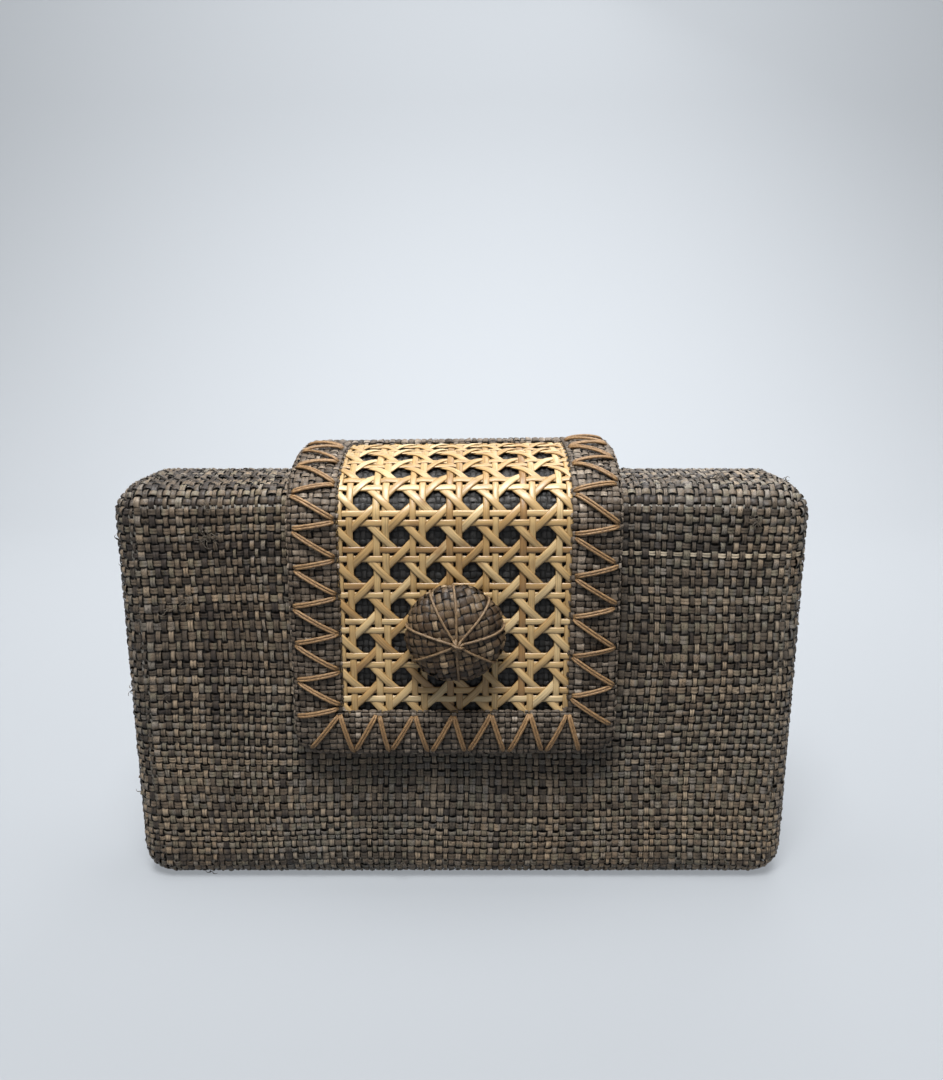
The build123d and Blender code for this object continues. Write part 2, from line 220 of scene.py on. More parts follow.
class KnobSettings(PropertyGroup):
    """Covered knob with laid threads."""

    waist: length("Height of the knob's widest ring", 0.0060)
    foot: length("Radius of the knob's foot", 0.0125)
    strip_width: length("Mean width of the knob's strips", 0.00212)
    strip_gap: length("Gap between neighbouring strips", 0.00060)
    twist: share("How far a strip leans from one float to the next", 0.16)
    rise: length("How far a strip rises over and dips under", 0.00034)
    crown: length("How far a strip is arched across", 0.00016)
    groove: share("How far the threads pull the cloth in", 0.040)
    weave_turn: angle("How far the cloth's strips are turned", 12.0)
    thread: length("Thickness of a laid thread", 0.00092)
    pole_across: length("Distance of the knot from the knob's middle", 0.0010)
    pole_down: length("How far the knot sits below the knob's middle", 0.0016)
    spread: share("How unevenly wide the strips are", 0.16)
    steps: count("Sections of a strip from one crossing to the next", 3)
    sink: length("Depth of the weave's middle below the frame's face", 0.00035)
    # The backing is a dark sheet of painted shade that shows between the strips
    backing_sink: length("Depth of the backing below the frame's face", 0.00085)
    groove_width: share("Half width of a groove, in radians", 0.16)
    groove_start: length("Distance from the pole where a groove is whole", 0.006)
    thread_lift: share("Height of a laid thread, as a share of its thickness", 0.22)
    thread_bend: share("How far a laid thread wavers, in radians", 0.03)
    sides: count("Sides of a thread or a turn", 8)
    knot_turns: count("Turns of the knot", 5)
    knot_reach: length("Half length of a turn", 0.0021)
    knot_shift: length("How far the turns lie off the pole", 0.0003)
    knot_foot: length("Height of a turn at its ends", 0.0004)
    knot_rise: length("How far the first turn is arched", 0.0010)
    knot_step: length("How much more each next turn is arched", 0.00022)


class LiningSettings(PropertyGroup):
    """Cloth inside the flap, and the two snap discs."""

    pucker: length("How far the lining puckers along its sewn edges", 0.00012)
    pucker_reach: length("How far in those puckers run", 0.004)
    slack: length("How far the lining swells", 0.00010)
    sections: count("Sections along the lining", 72)
    columns: count("Sections across the lining", 40)
    disc_sides: count("Sides of a snap disc", 48)
    rim_round: length("Round of a disc's edges", 0.00022)
    rim_segments: count("Sections of that round", 3)


class FibreSettings(PropertyGroup):
    """Frayed ends and stray fibres of the raffia."""

    number: count("Stray tufts on each tray", 26)
    reach: length("How far to each side stray tufts are found", 0.13)
    lowest: length("How far below the middle they are found", 0.085)
    highest: length("How far above the middle they are found", 0.095)
    spread: length("How far a stray tuft spreads", 0.0022)
    root: length("Radius of a fibre at its root", 0.00017)
    tip: length("Radius of a fibre at its tip", 0.00008)
    lift: length("Height of a fibre above the weave", 0.0010)
    clearance: length("Least height of a fibre above the floor", 0.0006)
    sections: count("Sections along a fibre", 9)
    sides: count("Sides of a fibre", 4)


class StageSettings(PropertyGroup):
    """Floor, light and camera."""

    floor_tint: colour("Colour of the floor and backdrop", (0.19, 0.20, 0.212))
    backdrop_tint: colour("Colour of the backdrop where no lamp reaches", (0.62, 0.66, 0.705))
    floor_glow: share("How far the floor shows the backdrop's colour of itself", 0.44)
    camera_across: length("Camera place to the right", 0.0035)
    camera_back: length("Camera place in front of the bag", 0.348)
    camera_up: length("Camera place above the floor", 0.2175)
    camera_pitch: angle("How far the camera looks down", 14.0)
    lens: share("Camera lens in millimetres", 31.47)
    key_power: share("Power of the overhead light", 18.0)
    fill_power: share("Power of the front fill light", 0.35)
    wash_power: share("Power of the light on the backdrop", 12.0)
    rear_power: share("Power of the light behind", 4.0)
    world_level: share("Strength of the even surrounding light", 0.13)


SETTINGS = {
    "clutch_tray": TraySettings,
    "clutch_band": BandSettings,
    "clutch_cane": CaneSettings,
    "clutch_stitch": StitchSettings,
    "clutch_knob": KnobSettings,
    "clutch_lining": LiningSettings,
    "clutch_fibre": FibreSettings,
    "clutch_stage": StageSettings,
}

# Angle below which a modelled edge is smooth, how near two places are the same, and millimetres in a metre
SMOOTH_ANGLE, SAME, MILLIMETRES = math.radians(40), 1e-6, 1000.0
# Seeds of the random draws, and any phase of a wave, in radians
SEEDS = {"front": 11, "back": 23, "band": 37, "cane": 5, "stitches": 8, "knob": 91, "fibres": 77}
ANY_PHASE = (0.0, 6.0)
# How far apart in a noise two strips of different tones lie
TONE_SEED = 61.0

# Angles of the knob's laid threads, counted from the right, in degrees
THREAD_ANGLES = (122.0, 91.5, 47.0, 10.6, -35.0, -87.5, -149.0, 169.0)


# Nodes of a material


def put(tree, kind, inputs=None, **settings):
    """A node of a tree with its settings made and its inputs set or linked."""
    node = tree.nodes.new(kind)
    for key, value in settings.items():
        setattr(node, key, value)
    for key, value in (inputs or {}).items():
        if isinstance(value, bpy.types.NodeSocket):
            tree.links.new(value, node.inputs[key])
        else:
            node.inputs[key].default_value = value
    return node


def ramp(tree, factor, stops):
    """A colour ramp through (place, colour) stops."""
    node = put(tree, "ShaderNodeValToRGB", {"Fac": factor})
    band = node.color_ramp
    while len(band.elements) < len(stops):
        band.elements.new(1.0)
    for element, (place, tint) in zip(band.elements, stops):
        element.position = place
        element.color = (*tint, 1.0)
    return node.outputs["Color"]


def blend_tints(tree, mode, factor, first, second):
    """Two colours mixed by a factor."""
    node = put(tree, "ShaderNodeMix", data_type="RGBA", blend_type=mode)
    for socket, value in zip((node.inputs[0], node.inputs[6], node.inputs[7]), (factor, first, second)):
        if isinstance(value, bpy.types.NodeSocket):
            tree.links.new(value, socket)
        elif isinstance(value, tuple):
            socket.default_value = (*value, 1.0)
        else:
            socket.default_value = value
    return node.outputs[2]


def shade(tree, factor, *stops):
    """A ramp of greys through (place, level) stops."""
    return ramp(tree, factor, [(place, (level, level, level)) for place, level in stops])


def multiplied(tree, tint, *shades):
    """A colour multiplied by each of some shades."""
    for factor in shades:
        tint = blend_tints(tree, "MULTIPLY", 1.0, tint, factor)
    return tint


def noise(tree, lay, scale, detail, seed=None, roughness=0.5):
    """Noise over a lay, of its own for each seed."""
    inputs = {"Vector": lay, "Scale": scale, "Detail": detail, "Roughness": roughness}
    if seed is None:
        return put(tree, "ShaderNodeTexNoise", inputs).outputs["Fac"]
    return put(tree, "ShaderNodeTexNoise", {"W": seed, **inputs}, noise_dimensions="4D").outputs["Fac"]


def worked_out(tree, operation, first, second=0.0):
    """Two values put together by one operation."""
    return put(tree, "ShaderNodeMath", {0: first, 1: second}, operation=operation).outputs[0]


def new_material(name):
    """An empty material with its output and shader."""
    material = bpy.data.materials.new(name)
    material.use_nodes = True
    tree = material.node_tree
    tree.nodes.clear()
    shader = put(tree, "ShaderNodeBsdfPrincipled")
    put(tree, "ShaderNodeOutputMaterial", {"Surface": shader.outputs["BSDF"]})
    return material, tree, shader


def dress(tree, shader, tint, roughness, height=None, strength=0.0, depth=0.0):
    """Give a shader its colour, its roughness and its relief."""
    tree.links.new(tint, shader.inputs["Base Color"])
    shader.inputs["Roughness"].default_value = roughness
    if height is not None:
        bump = put(tree, "ShaderNodeBump", {"Strength": strength, "Distance": depth, "Height": height})
        tree.links.new(bump.outputs[0], shader.inputs["Normal"])


def strip_lay(tree):
    """Millimetres along a strip, and the share of its width across."""
    return put(tree, "ShaderNodeUVMap", uv_map="strip").outputs["UV"]


def strip_across(tree):
    """Share of a strip's width across it."""
    return put(tree, "ShaderNodeSeparateXYZ", {0: strip_lay(tree)}).outputs["Y"]


def strip_coordinates(tree, along, across):
    """Strip coordinates stretched along the strip, the strip's own tone and a seed from it."""
    tone = put(tree, "ShaderNodeAttribute", attribute_name="tone").outputs["Fac"]
    stretch = {"Vector": strip_lay(tree), "Scale": (along, across, 1.0)}
    stretched = put(tree, "ShaderNodeMapping", stretch).outputs[0]
    return stretched, tone, worked_out(tree, "MULTIPLY", tone, TONE_SEED)


def raffia_material(name, stops, warm):
    """Dyed raffia: fibre lines along each strip, an uneven dye, and painted shade in the dips where a strip
    goes under and along its edges.
    """
    material, tree, shader = new_material(name)
    lay, tone, seed = strip_coordinates(tree, along=0.07, across=2.6)
    fibre = noise(tree, lay, scale=2.0, detail=3.0, seed=seed, roughness=0.6)
    place = put(tree, "ShaderNodeTexCoord").outputs["Object"]
    drift = noise(tree, place, scale=22.0, detail=2.0)
    dip = put(tree, "ShaderNodeAttribute", attribute_name="dip").outputs["Fac"]
    edge = worked_out(tree, "ABSOLUTE", worked_out(tree, "SUBTRACT", strip_across(tree), 0.5))
    tint = multiplied(
        tree,
        ramp(tree, tone, stops),
        shade(tree, fibre, (0.32, 0.16), (0.46, 0.68), (0.60, 1.0)),
        ramp(tree, drift, ((0.3, DULL_DYE), (0.7, warm))),
        # Painted shade: darkens a strip where it dives under its neighbours
        shade(tree, dip, (0.0, 1.0), (0.40, 0.92), (0.66, 0.24), (0.92, 0.03)),
        # Painted shade: darkens each strip towards its two edges, as the thin shadows there
        shade(tree, edge, (0.39, 1.0), (0.5, 0.12)),
    )
    dress(tree, shader, tint, roughness=0.44, height=fibre, strength=0.7, depth=0.00018)
    shader.inputs["Specular IOR Level"].default_value = 0.26
    return material


def cane_material():
    """Split cane: a smooth beige skin with fibre lines, painted shade on its sides and brown flecks."""
    material, tree, shader = new_material("cane_skin")
    lay, tone, seed = strip_coordinates(tree, along=0.035, across=6.0)
    fibre = noise(tree, lay, scale=2.0, detail=3.0, seed=seed)
    wide = strip_coordinates(tree, along=0.045, across=0.5)[0]
    fleck = noise(tree, wide, scale=1.5, detail=2.0, seed=seed)
    lined = multiplied(
        tree,
        ramp(tree, tone, CANE_STOPS),
        shade(tree, fibre, (0.32, 0.60), (0.5, 0.94), (0.65, 1.0)),
        # Painted shade: darker brown on the two sides of each strand
        ramp(tree, strip_across(tree), CANE_SIDE_SHADE),
    )
    brown = shade(tree, fleck, (0.60, 0.0), (0.72, 0.7))
    tint = blend_tints(tree, "MIX", brown, lined, CANE_FLECK)
    dress(tree, shader, tint, roughness=0.36, height=fibre, strength=0.25, depth=0.0001)
    return material


def thread_material(name, dark, light):
    """Waxed thread, lighter and darker along its fibres."""
    material, tree, shader = new_material(name)
    lay, _, seed = strip_coordinates(tree, along=0.5, across=3.0)
    fibre = noise(tree, lay, scale=2.2, detail=3.0, seed=seed)
    tint = ramp(tree, fibre, ((0.3, dark), (0.7, light)))
    dress(tree, shader, tint, roughness=0.6, height=fibre, strength=0.5, depth=0.00012)
    return material


def lining_material():
    """Cotton lining: a fine plain weave with slubs, along the cloth's own run."""
    material, tree, shader = new_material("lining_cotton")
    lay = strip_lay(tree)
    look = {"Vector": lay, "Scale": 0.42, "Distortion": 0.8, "Detail": 1.0}
    ways = [put(tree, "ShaderNodeTexWave", look, bands_direction=way).outputs["Fac"] for way in "XY"]
    cross = worked_out(tree, "MULTIPLY", *ways)
    slub = noise(tree, lay, scale=0.25, detail=3.0)
    tint = multiplied(tree, ramp(tree, cross, LINING_STOPS), shade(tree, slub, (0.3, 0.82), (0.7, 1.0)))
    dress(tree, shader, tint, roughness=0.85, height=cross, strength=0.35, depth=0.0001)
    return material


def seen_share(tree):
    """One where the camera, a gloss or a glass looks, nought for light."""
    path = put(tree, "ShaderNodeLightPath").outputs
    seen = path["Is Camera Ray"]
    for way in ("Is Glossy Ray", "Is Transmission Ray"):
        seen = worked_out(tree, "MAXIMUM", seen, path[way])
    return seen


def floor_material(tint, glow, level):
    """Pale floor that keeps shadows and stays pale where the lamps don't reach."""
    material, tree, shader = new_material("floor_pale")
    for socket, value in (
        ("Base Color", (*tint, 1.0)),
        ("Roughness", 0.9),
        ("Specular IOR Level", 0.0),
        ("Emission Color", (*glow, 1.0)),
    ):
        shader.inputs[socket].default_value = value
    tree.links.new(worked_out(tree, "MULTIPLY", seen_share(tree), level), shader.inputs["Emission Strength"])
    return material


def plain_material(name, tint, roughness, grain, grain_size=900.0, metal=0.0):
    """A plain finish with a fine grain."""
    material, tree, shader = new_material(name)
    place = put(tree, "ShaderNodeTexCoord").outputs["Object"]
    speck = noise(tree, place, scale=grain_size, detail=2.0)
    low, high = (tuple(min(1.0, part * level) for part in tint) for level in (1.0 - grain, 1.0 + grain))
    dress(tree, shader, ramp(tree, speck, ((0.3, low), (0.7, high))), roughness)
    shader.inputs["Metallic"].default_value = metal
    return material


# Dye of the raffia where it has faded
DULL_DYE = (0.8428, 0.8624, 0.882)
# Skin of the cane from its brownest strand to its palest, painted shade darkening a strand's sides, and its
# flecks
CANE_STOPS = (
    (0.0, (0.25, 0.133, 0.045)),
    (0.3, (0.405, 0.250, 0.098)),
    (0.7, (0.510, 0.350, 0.160)),
    (1.0, (0.60, 0.450, 0.245)),
)
CANE_SIDE_SHADE = (
    (0.0, (0.42, 0.30, 0.17)),
    (0.14, (0.82, 0.76, 0.66)),
    (0.24, (1.0, 1.0, 1.0)),
    (0.62, (1.0, 1.0, 1.0)),
    (0.72, (0.82, 0.76, 0.66)),
    (0.86, (0.42, 0.30, 0.17)),
)
CANE_FLECK = (0.22, 0.115, 0.040)
# Cotton of the lining between its threads and on them
LINING_STOPS = ((0.0, (0.15, 0.115, 0.08)), (0.6, (0.27, 0.215, 0.155)))
# Dye tones of the raffia, from the darkest strip to the rare pale one
BODY_STOPS = (
    (0.0, (0.049, 0.039, 0.033)),
    (0.22, (0.110, 0.088, 0.067)),
    (0.40, (0.186, 0.144, 0.106)),
    (0.52, (0.202, 0.179, 0.132)),
    (0.62, (0.233, 0.207, 0.181)),
    (0.74, (0.270, 0.209, 0.148)),
    (0.86, (0.343, 0.275, 0.202)),
    (1.0, (0.687, 0.579, 0.434)),
)
BAND_STOPS = (
    (0.0, (0.056, 0.040, 0.027)),
    (0.3, (0.112, 0.084, 0.060)),
    (0.6, (0.185, 0.144, 0.107)),
    (0.85, (0.287, 0.229, 0.173)),
    (1.0, (0.443, 0.365, 0.287)),
)
# The cloth under the cane: partly its own dark dye, partly painted shade of the cane over it
BASE_STOPS = (
    (0.0, (0.014, 0.013, 0.012)),
    (0.5, (0.032, 0.030, 0.028)),
    (1.0, (0.066, 0.062, 0.058)),
)
KNOB_STOPS = (
    (0.0, (0.028, 0.017, 0.009)),
    (0.4, (0.080, 0.049, 0.027)),
    (0.8, (0.205, 0.140, 0.080)),
    (1.0, (0.432, 0.320, 0.205)),
)


def materials():
    """Every finish of the bag, made once."""
    return {
        "body": raffia_material("raffia_body", BODY_STOPS, (1.1, 1.02, 0.92)),
        "band": raffia_material("raffia_band", BAND_STOPS, (1.04, 1.0, 0.96)),
        "base": raffia_material("raffia_base", BASE_STOPS, (1.04, 1.0, 0.96)),
        "knob": raffia_material("raffia_knob", KNOB_STOPS, (1.08, 1.0, 0.92)),
        "cane": cane_material(),
        "thread": thread_material("thread_tan", (0.085, 0.042, 0.016), (0.36, 0.215, 0.095)),
        "cord": thread_material("cord_brown", (0.05, 0.028, 0.013), (0.23, 0.145, 0.07)),
        "fibre": thread_material("fibre_raffia", (0.028, 0.022, 0.016), (0.13, 0.103, 0.072)),
        "lining": lining_material(),
        # Backing: a near-black sheet under the strips, painted shade that shows in the gaps
        "backing": plain_material("dark_backing", (0.007, 0.006, 0.005), 0.9, 0.3),
        "cotton": plain_material("tray_cotton", (0.21, 0.165, 0.118), 0.85, 0.15, 2200.0),
        "board": plain_material("grey_board", (0.25, 0.23, 0.2), 0.85, 0.1),
        "metal": plain_material("snap_brass", (0.60, 0.47, 0.26), 0.34, 0.03, 500.0, 1.0),
    }


FINISH = {}


# Meshes


class Ribbons:
    """Strips gathered into one mesh, each a grid of sections."""

    def __init__(self):
        self.points = []
        self.quads = []
        self.lays = []
        self.tones = []
        self.dips = []
        self.total = 0

    def add(self, grid, run, tone, outward=None, dip=0.0, across=None, closed=False, capped=False):
        """One strip: a grid of places, the run of its sections, and its tone and dip there."""
        rows, sides = grid.shape[:2]
        corner = np.arange(rows * sides).reshape(rows, sides)
        wrapped = np.hstack([corner, corner[:, :1]]) if closed else corner
        quads = np.stack([wrapped[:-1, :-1], wrapped[:-1, 1:], wrapped[1:, 1:], wrapped[1:, :-1]], axis=-1)
        quads = quads.reshape(-1, 4)
        if outward is not None and self.inside_out(grid, outward):
            quads = quads[:, ::-1]
        self.quads.extend((quads + self.total).tolist())
        if capped:
            self.quads.append((corner[0, ::-1] + self.total).tolist())
            self.quads.append((corner[-1] + self.total).tolist())
        across = np.linspace(0.0, 1.0, sides) if across is None else across
        lay = np.stack(np.broadcast_arrays(run[:, None] * MILLIMETRES, across[None, :]), axis=-1)
        self.points.append(grid.reshape(-1, 3))
        self.lays.append(lay.reshape(-1, 2))
        for kept, values in ((self.tones, tone), (self.dips, dip)):
            kept.append(np.broadcast_to(np.reshape(values, (-1, 1)), (rows, sides)).reshape(-1))
        self.total += rows * sides

    @staticmethod
    def inside_out(grid, outward):
        """Whether the strip's faces look against its cloth."""
        row = len(grid) // 2 - 1
        along = grid[row + 1, 0] - grid[row, 0]
        side = grid[row, -1] - grid[row, 0]
        return float(np.dot(np.cross(side, along), outward[row])) < 0.0

    def piece(self, name, material, body, nodes=(), slot=None):
        """The finished piece, riding on a body in place of the frame's nodes."""
        mesh = bpy.data.meshes.new(name)
        mesh.from_pydata(np.vstack(self.points).tolist(), [], self.quads)
        place = np.empty(len(mesh.loops), dtype=np.int32)
        mesh.loops.foreach_get("vertex_index", place)
        layer = mesh.uv_layers.new(name="strip")
        layer.data.foreach_set("uv", np.vstack(self.lays)[place].astype(np.float32).ravel())
        for label, kept in (("tone", self.tones), ("dip", self.dips)):
            layer = mesh.attributes.new(label, "FLOAT", "POINT")
            layer.data.foreach_set("value", np.concatenate(kept).astype(np.float32))
        mesh.polygons.foreach_set("use_smooth", np.ones(len(mesh.polygons), dtype=bool))
        mesh.update()
        obj = bpy.data.objects.new(name, mesh)
        bpy.context.collection.objects.link(obj)
        return settle(obj, material, body, nodes)


def settle(obj, material, body, nodes=()):
    """Finish a piece: its material, what it rides on and what it replaces."""
    obj.data.materials.clear()
    obj.data.materials.append(material)
    if nodes:
        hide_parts(*nodes)
    if body:
        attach(obj, body)
    return obj


def strip_pieces(zone, name, ways, finish, body, node, slot):
    """The two pieces of woven strips, one for each way they run."""
    return [
        ribbons.piece(f"{name}_{way}_strips", FINISH[finish], body, (node,), slot)
        for way, ribbons in zip(ways, zone)
    ]


def runs_of(keep):
    """First and last index of each unbroken run that is kept."""
    edge = np.diff(np.concatenate([[0], keep.astype(int), [0]]))
    return zip(np.flatnonzero(edge == 1), np.flatnonzero(edge == -1))


# Strips: least and most width, and how far one sways and its lift and width differ, as shares
WIDTH_LIMITS = (0.62, 1.55)
SWAY_SHARE, LIFT_SPREAD, WIDTH_SPREAD = 0.06, 0.16, 0.07
# Waves of that sway, in radians a metre
SWAY_WAVES = (130.0, 310.0)
# How flat a float lies between its dips
FLOAT_POWER = 0.45


def laid_strips(start, end, width, gap, spread, rng):
    """Middles and widths of strips laid side by side over a span."""
    number = int((end - start) / (width + gap)) + 2
    widths = width * np.clip(np.exp(rng.normal(0.0, spread, number)), *WIDTH_LIMITS)
    edges = np.concatenate([[0.0], np.cumsum(widths + gap)])
    middles = start + edges[:-1] + widths / 2
    inside = middles < end
    return middles[inside], widths[inside]


def wave(crossings, parity, steps):
    """Places along a strip and its over-and-under there, from minus one to one."""
    number = len(crossings)
    part = np.arange((number - 1) * steps + 1) / steps
    places = np.interp(part, np.arange(number), crossings)
    swing = np.cos(np.pi * part) * (-1) ** parity
    return places, np.sign(swing) * np.abs(swing) ** FLOAT_POWER


# Sections of a flat strip and of a doubled one: places across, falls below the crown, and lay of the fibres
FLAT = (
    np.array([-0.5, -0.34, 0.34, 0.5]),
    np.array([-1.0, 0.0, 0.0, -1.0]),
    np.array([0.0, 0.16, 0.84, 1.0]),
)
SPLIT = (
    np.array([-0.5, -0.25, 0.0, 0.25, 0.5]),
    np.array([-1.0, 0.0, -1.6, 0.0, -1.0]),
    np.array([0.0, 0.5, 1.0, 0.5, 0.0]),
)


def weave(cloth, warp, weft, settings, steps, rng, tone_of, splits=(0.0, 0.0), seams=()):
    """Upright and cross strips of a plain weave laid on a cloth, as pairs of ribbon gatherers per zone."""
    zones = [(Ribbons(), Ribbons()) for _ in range(len(seams) + 1)]
    for turned, (own, other) in enumerate(((warp, weft), (weft, warp))):
        crossings = other[0]
        for index, (middle, width) in enumerate(zip(*own)):
            places, swing = wave(crossings, index + turned, steps)
            if seams and not turned:
                places, swing = with_seams(places, swing, seams)
            across, arch, lay = SPLIT if rng.random() < splits[turned] else FLAT
            sizes, phases = rng.normal(0.0, width * SWAY_SHARE, 2), rng.uniform(0.0, 2 * math.pi, 2)
            sway = sum(size * np.sin(places * turn + at) for size, turn, at in zip(sizes, SWAY_WAVES, phases))
            lean, size, wide = (
                np.interp(places, crossings, rng.normal(mean, spread, len(crossings)))
                for mean, spread in ((0.0, settings.twist), (1.0, LIFT_SPREAD), (1.0, WIDTH_SPREAD))
            )
            spot = across[None, :] * (width * wide)[:, None]
            first = middle + sway[:, None] + spot
            second = np.broadcast_to(places[:, None], first.shape)
            lift = (swing * size)[:, None] * settings.rise + arch[None, :] * settings.crown
            lift = lift + lean[:, None] * spot
            a, b = (second, first) if turned else (first, second)
            grid, outward, keep = cloth(a, b, lift)
            tone = tone_of(turned, middle, places, rng)
            # How far down a strip dives; the raffia finishes darken it as painted shade
            dip = (1 - swing) / 2
            for begin, end in runs_of(keep[:, 1]):
                for zone, low, high in zoned(places, middle, turned, seams, begin, end):
                    if high - low > 1:
                        cut = slice(low, high)
                        ribbons = zones[zone][turned]
                        ribbons.add(grid[cut], places[cut], tone[cut], outward[cut, 1], dip[cut], lay)
    return zones


def with_seams(places, swing, seams):
    """The same strip with a section of its own at each seam."""
    more = np.sort(np.concatenate([places, seams]))
    return more, np.interp(more, places, swing)


def zoned(places, middle, turned, seams, begin, end):
    """Zones of a strip's run: where it is cut at the seams, or the zone it lies in."""
    if not seams:
        return [(0, begin, end)]
    if turned:
        return [(int(np.searchsorted(seams, middle)), begin, end)]
    cuts = [int(np.searchsorted(places, seam)) for seam in seams]
    bounds = [0, *cuts, len(places) - 1]
    parts = []
    for zone, (low, high) in enumerate(zip(bounds, bounds[1:])):
        low, high = max(low, begin), min(high + 1, end)
        if high > low:
            parts.append((zone, low, high))
    return parts


# Cloths: flat places laid onto the bag


def past_edge(a, b, half_a, half_b, corner):
    """How far a flat place lies past a rounded rectangle, the way out there and the edge's nearest place."""
    near_a = np.clip(a, -(half_a - corner), half_a - corner)
    near_b = np.clip(b, -(half_b - corner), half_b - corner)
    off_a, off_b = a - near_a, b - near_b
    away = np.hypot(off_a, off_b)
    safe = np.where(away > 0, away, 1.0)
    out_a, out_b = off_a / safe, off_b / safe
    return away - corner, out_a, out_b, near_a + out_a * corner, near_b + out_b * corner


# Waves in which a tray's strips wander together, in radians a metre, and their shift from tray to tray
DRIFT_WAVES, DRIFT_SHIFT = ((70.0, 39.0), (57.0, -42.0)), 100.0
# How soon the pull of an upper corner fades towards the rim
CORNER_FADE = 1.5


def tray_cloth(face, rim, settings):
    """The cloth of one tray: flat on its face, round its edges, down its walls and over the rim."""
    way = 1.0 if rim > face else -1.0
    round_ = settings.edge_round
    half_a, half_b = ((FRONT_HIGH[axis] - FRONT_LOW[axis]) / 2 - round_ for axis in (0, 2))
    middle_a, middle_b = ((FRONT_LOW[axis] + FRONT_HIGH[axis]) / 2 for axis in (0, 2))
    quarter = round_ * math.pi / 2
    wall = abs(rim - face) - round_
    reach = quarter + wall + settings.fold_in
    (a_by_b, a_by_a), (b_by_a, b_by_b) = DRIFT_WAVES

    def cloth(a, b, lift):
        a = a + settings.drift * np.sin(a_by_b * b + a_by_a * a + face * DRIFT_SHIFT)
        b = b + settings.drift * np.sin(b_by_a * a + b_by_b * b + 1.0)
        corner = np.where(b > 0, settings.top_corner, settings.bottom_corner) - round_
        past, out_a, out_b, edge_a, edge_b = past_edge(a, b, half_a, half_b, corner)
        turn = np.clip(past, 0, quarter) / round_
        fall = np.clip(past - quarter, 0, wall)
        fold = np.clip(past - quarter - wall, 0, None)
        depth = round_ * (1 - np.cos(turn)) + fall
        spread = np.clip(past / round_, 0, 1)
        near = np.clip(1 - depth / (round_ + wall), 0, 1) ** CORNER_FADE * spread
        corner_share = 4 * (out_a * out_b) ** 2
        pulled = corner_share * np.where(b > 0, settings.soften * near, -settings.sharpen * spread)
        off = round_ * np.sin(turn) - fold - pulled
        at_a = np.where(past > 0, edge_a + out_a * off, a)
        at_b = np.where(past > 0, edge_b + out_b * off, b)
        lean = np.where((past > 0) & (fold <= 0), np.sin(turn), 0.0)
        stand = np.where(fold > 0, way, -way * np.cos(turn))
        outward = np.stack([out_a * lean, stand, out_b * lean], axis=-1)
        at = np.stack([at_a + middle_a, face + way * depth, at_b + middle_b], axis=-1)
        at = at + outward * (lift - settings.sink)[..., None]
        # The strips are pressed flat where the bag stands
        at[..., 2] = np.maximum(at[..., 2], FRONT_LOW[2])
        return at, outward, past < reach

    return cloth, half_a + reach, half_b + reach


# Places along each rounded corner of a route
ARC_STEPS = 49


class Route:
    """A side outline with rounded corners, followed by its running length."""

    def __init__(self, corners, radii, tilt):
        self.tilt = tilt
        corners = [np.array(corner) for corner in corners]
        at, heading = [corners[0]], []
        for before, corner, after, radius in zip(corners, corners[1:], corners[2:], radii):
            onward = (corner - before) / np.linalg.norm(corner - before)
            away = (after - corner) / np.linalg.norm(after - corner)
            turn = math.atan2(onward[0] * away[1] - onward[1] * away[0], float(onward @ away))
            start = math.atan2(onward[1], onward[0])
            first = corner - onward * radius * math.tan(abs(turn) / 2)
            side = math.copysign(1.0, turn)
            centre = first + side * radius * np.array([-onward[1], onward[0]])
            if not heading:
                heading.append(start)
            for part in np.linspace(0.0, 1.0, ARC_STEPS):
                now = start + turn * part
                at.append(centre - side * radius * np.array([-math.sin(now), math.cos(now)]))
                heading.append(now)
        at.append(corners[-1])
        heading.append(heading[-1])
        self.at = np.array(at)
        self.heading = np.array(heading)
        steps = np.linalg.norm(np.diff(self.at, axis=0), axis=1)
        self.run = np.concatenate([[0.0], np.cumsum(steps)])
        self.length = float(self.run[-1])

    def place(self, run):
        """Place, way on and way out at a running length, beyond the ends too."""
        inside = np.clip(run, 0.0, self.length)
        y = np.interp(inside, self.run, self.at[:, 0])
        z = np.interp(inside, self.run, self.at[:, 1])
        turn = np.interp(inside, self.run, self.heading)
        way_y, way_z = np.cos(turn), np.sin(turn)
        over = run - inside
        return y + over * way_y, z + over * way_z, way_y, way_z

    def run_at(self, axis, value, after=0.0):
        """Running length where the outline first reaches a value on one axis, after a given run."""
        side = self.at[:, axis] - value
        for index in np.flatnonzero(np.diff(np.sign(side)) != 0):
            if self.run[index + 1] > after:
                part = side[index] / (side[index] - side[index + 1])
                return float(self.run[index] + part * (self.run[index + 1] - self.run[index]))
        raise ValueError("the outline never reaches that value")


def band_route(depth, settings):
    """The band's outline at a depth below its face, from the front foot to the tail's foot."""
    fall = math.tan((math.pi / 2 - settings.rise_angle) / 2)
    slip = math.tan(settings.rise_angle / 2)
    crest = BAND_HIGH[2]
    crest_y = BAND_LOW[1] + (crest - settings.brow_height) / math.tan(settings.rise_angle)
    corners = [
        (BAND_LOW[1] + depth, BAND_LOW[2] - settings.hem_drop),
        (BAND_LOW[1] + depth, settings.brow_height - depth * fall),
        (crest_y + depth * slip, crest - depth),
        (BAND_HIGH[1] - depth, crest - depth),
        (BAND_HIGH[1] - depth, TAIL_LOW[2]),
    ]
    radii = (settings.brow_radius, settings.crest_radius, settings.rear_radius)
    return Route(corners, [radius - depth for radius in radii], settings.tilt)


# Height from which the crest hangs aslant
BRINK = 0.125


def crest_drop(x, z, tilt):
    """How far a place of the band hangs below its level, more towards the crest and the left."""
    hang = np.clip((z - BRINK) / (BAND_HIGH[2] - BRINK), 0, 1) ** 2
    return tilt * hang * (BAND_HIGH[0] - x) / (BAND_HIGH[0] - BAND_LOW[0])


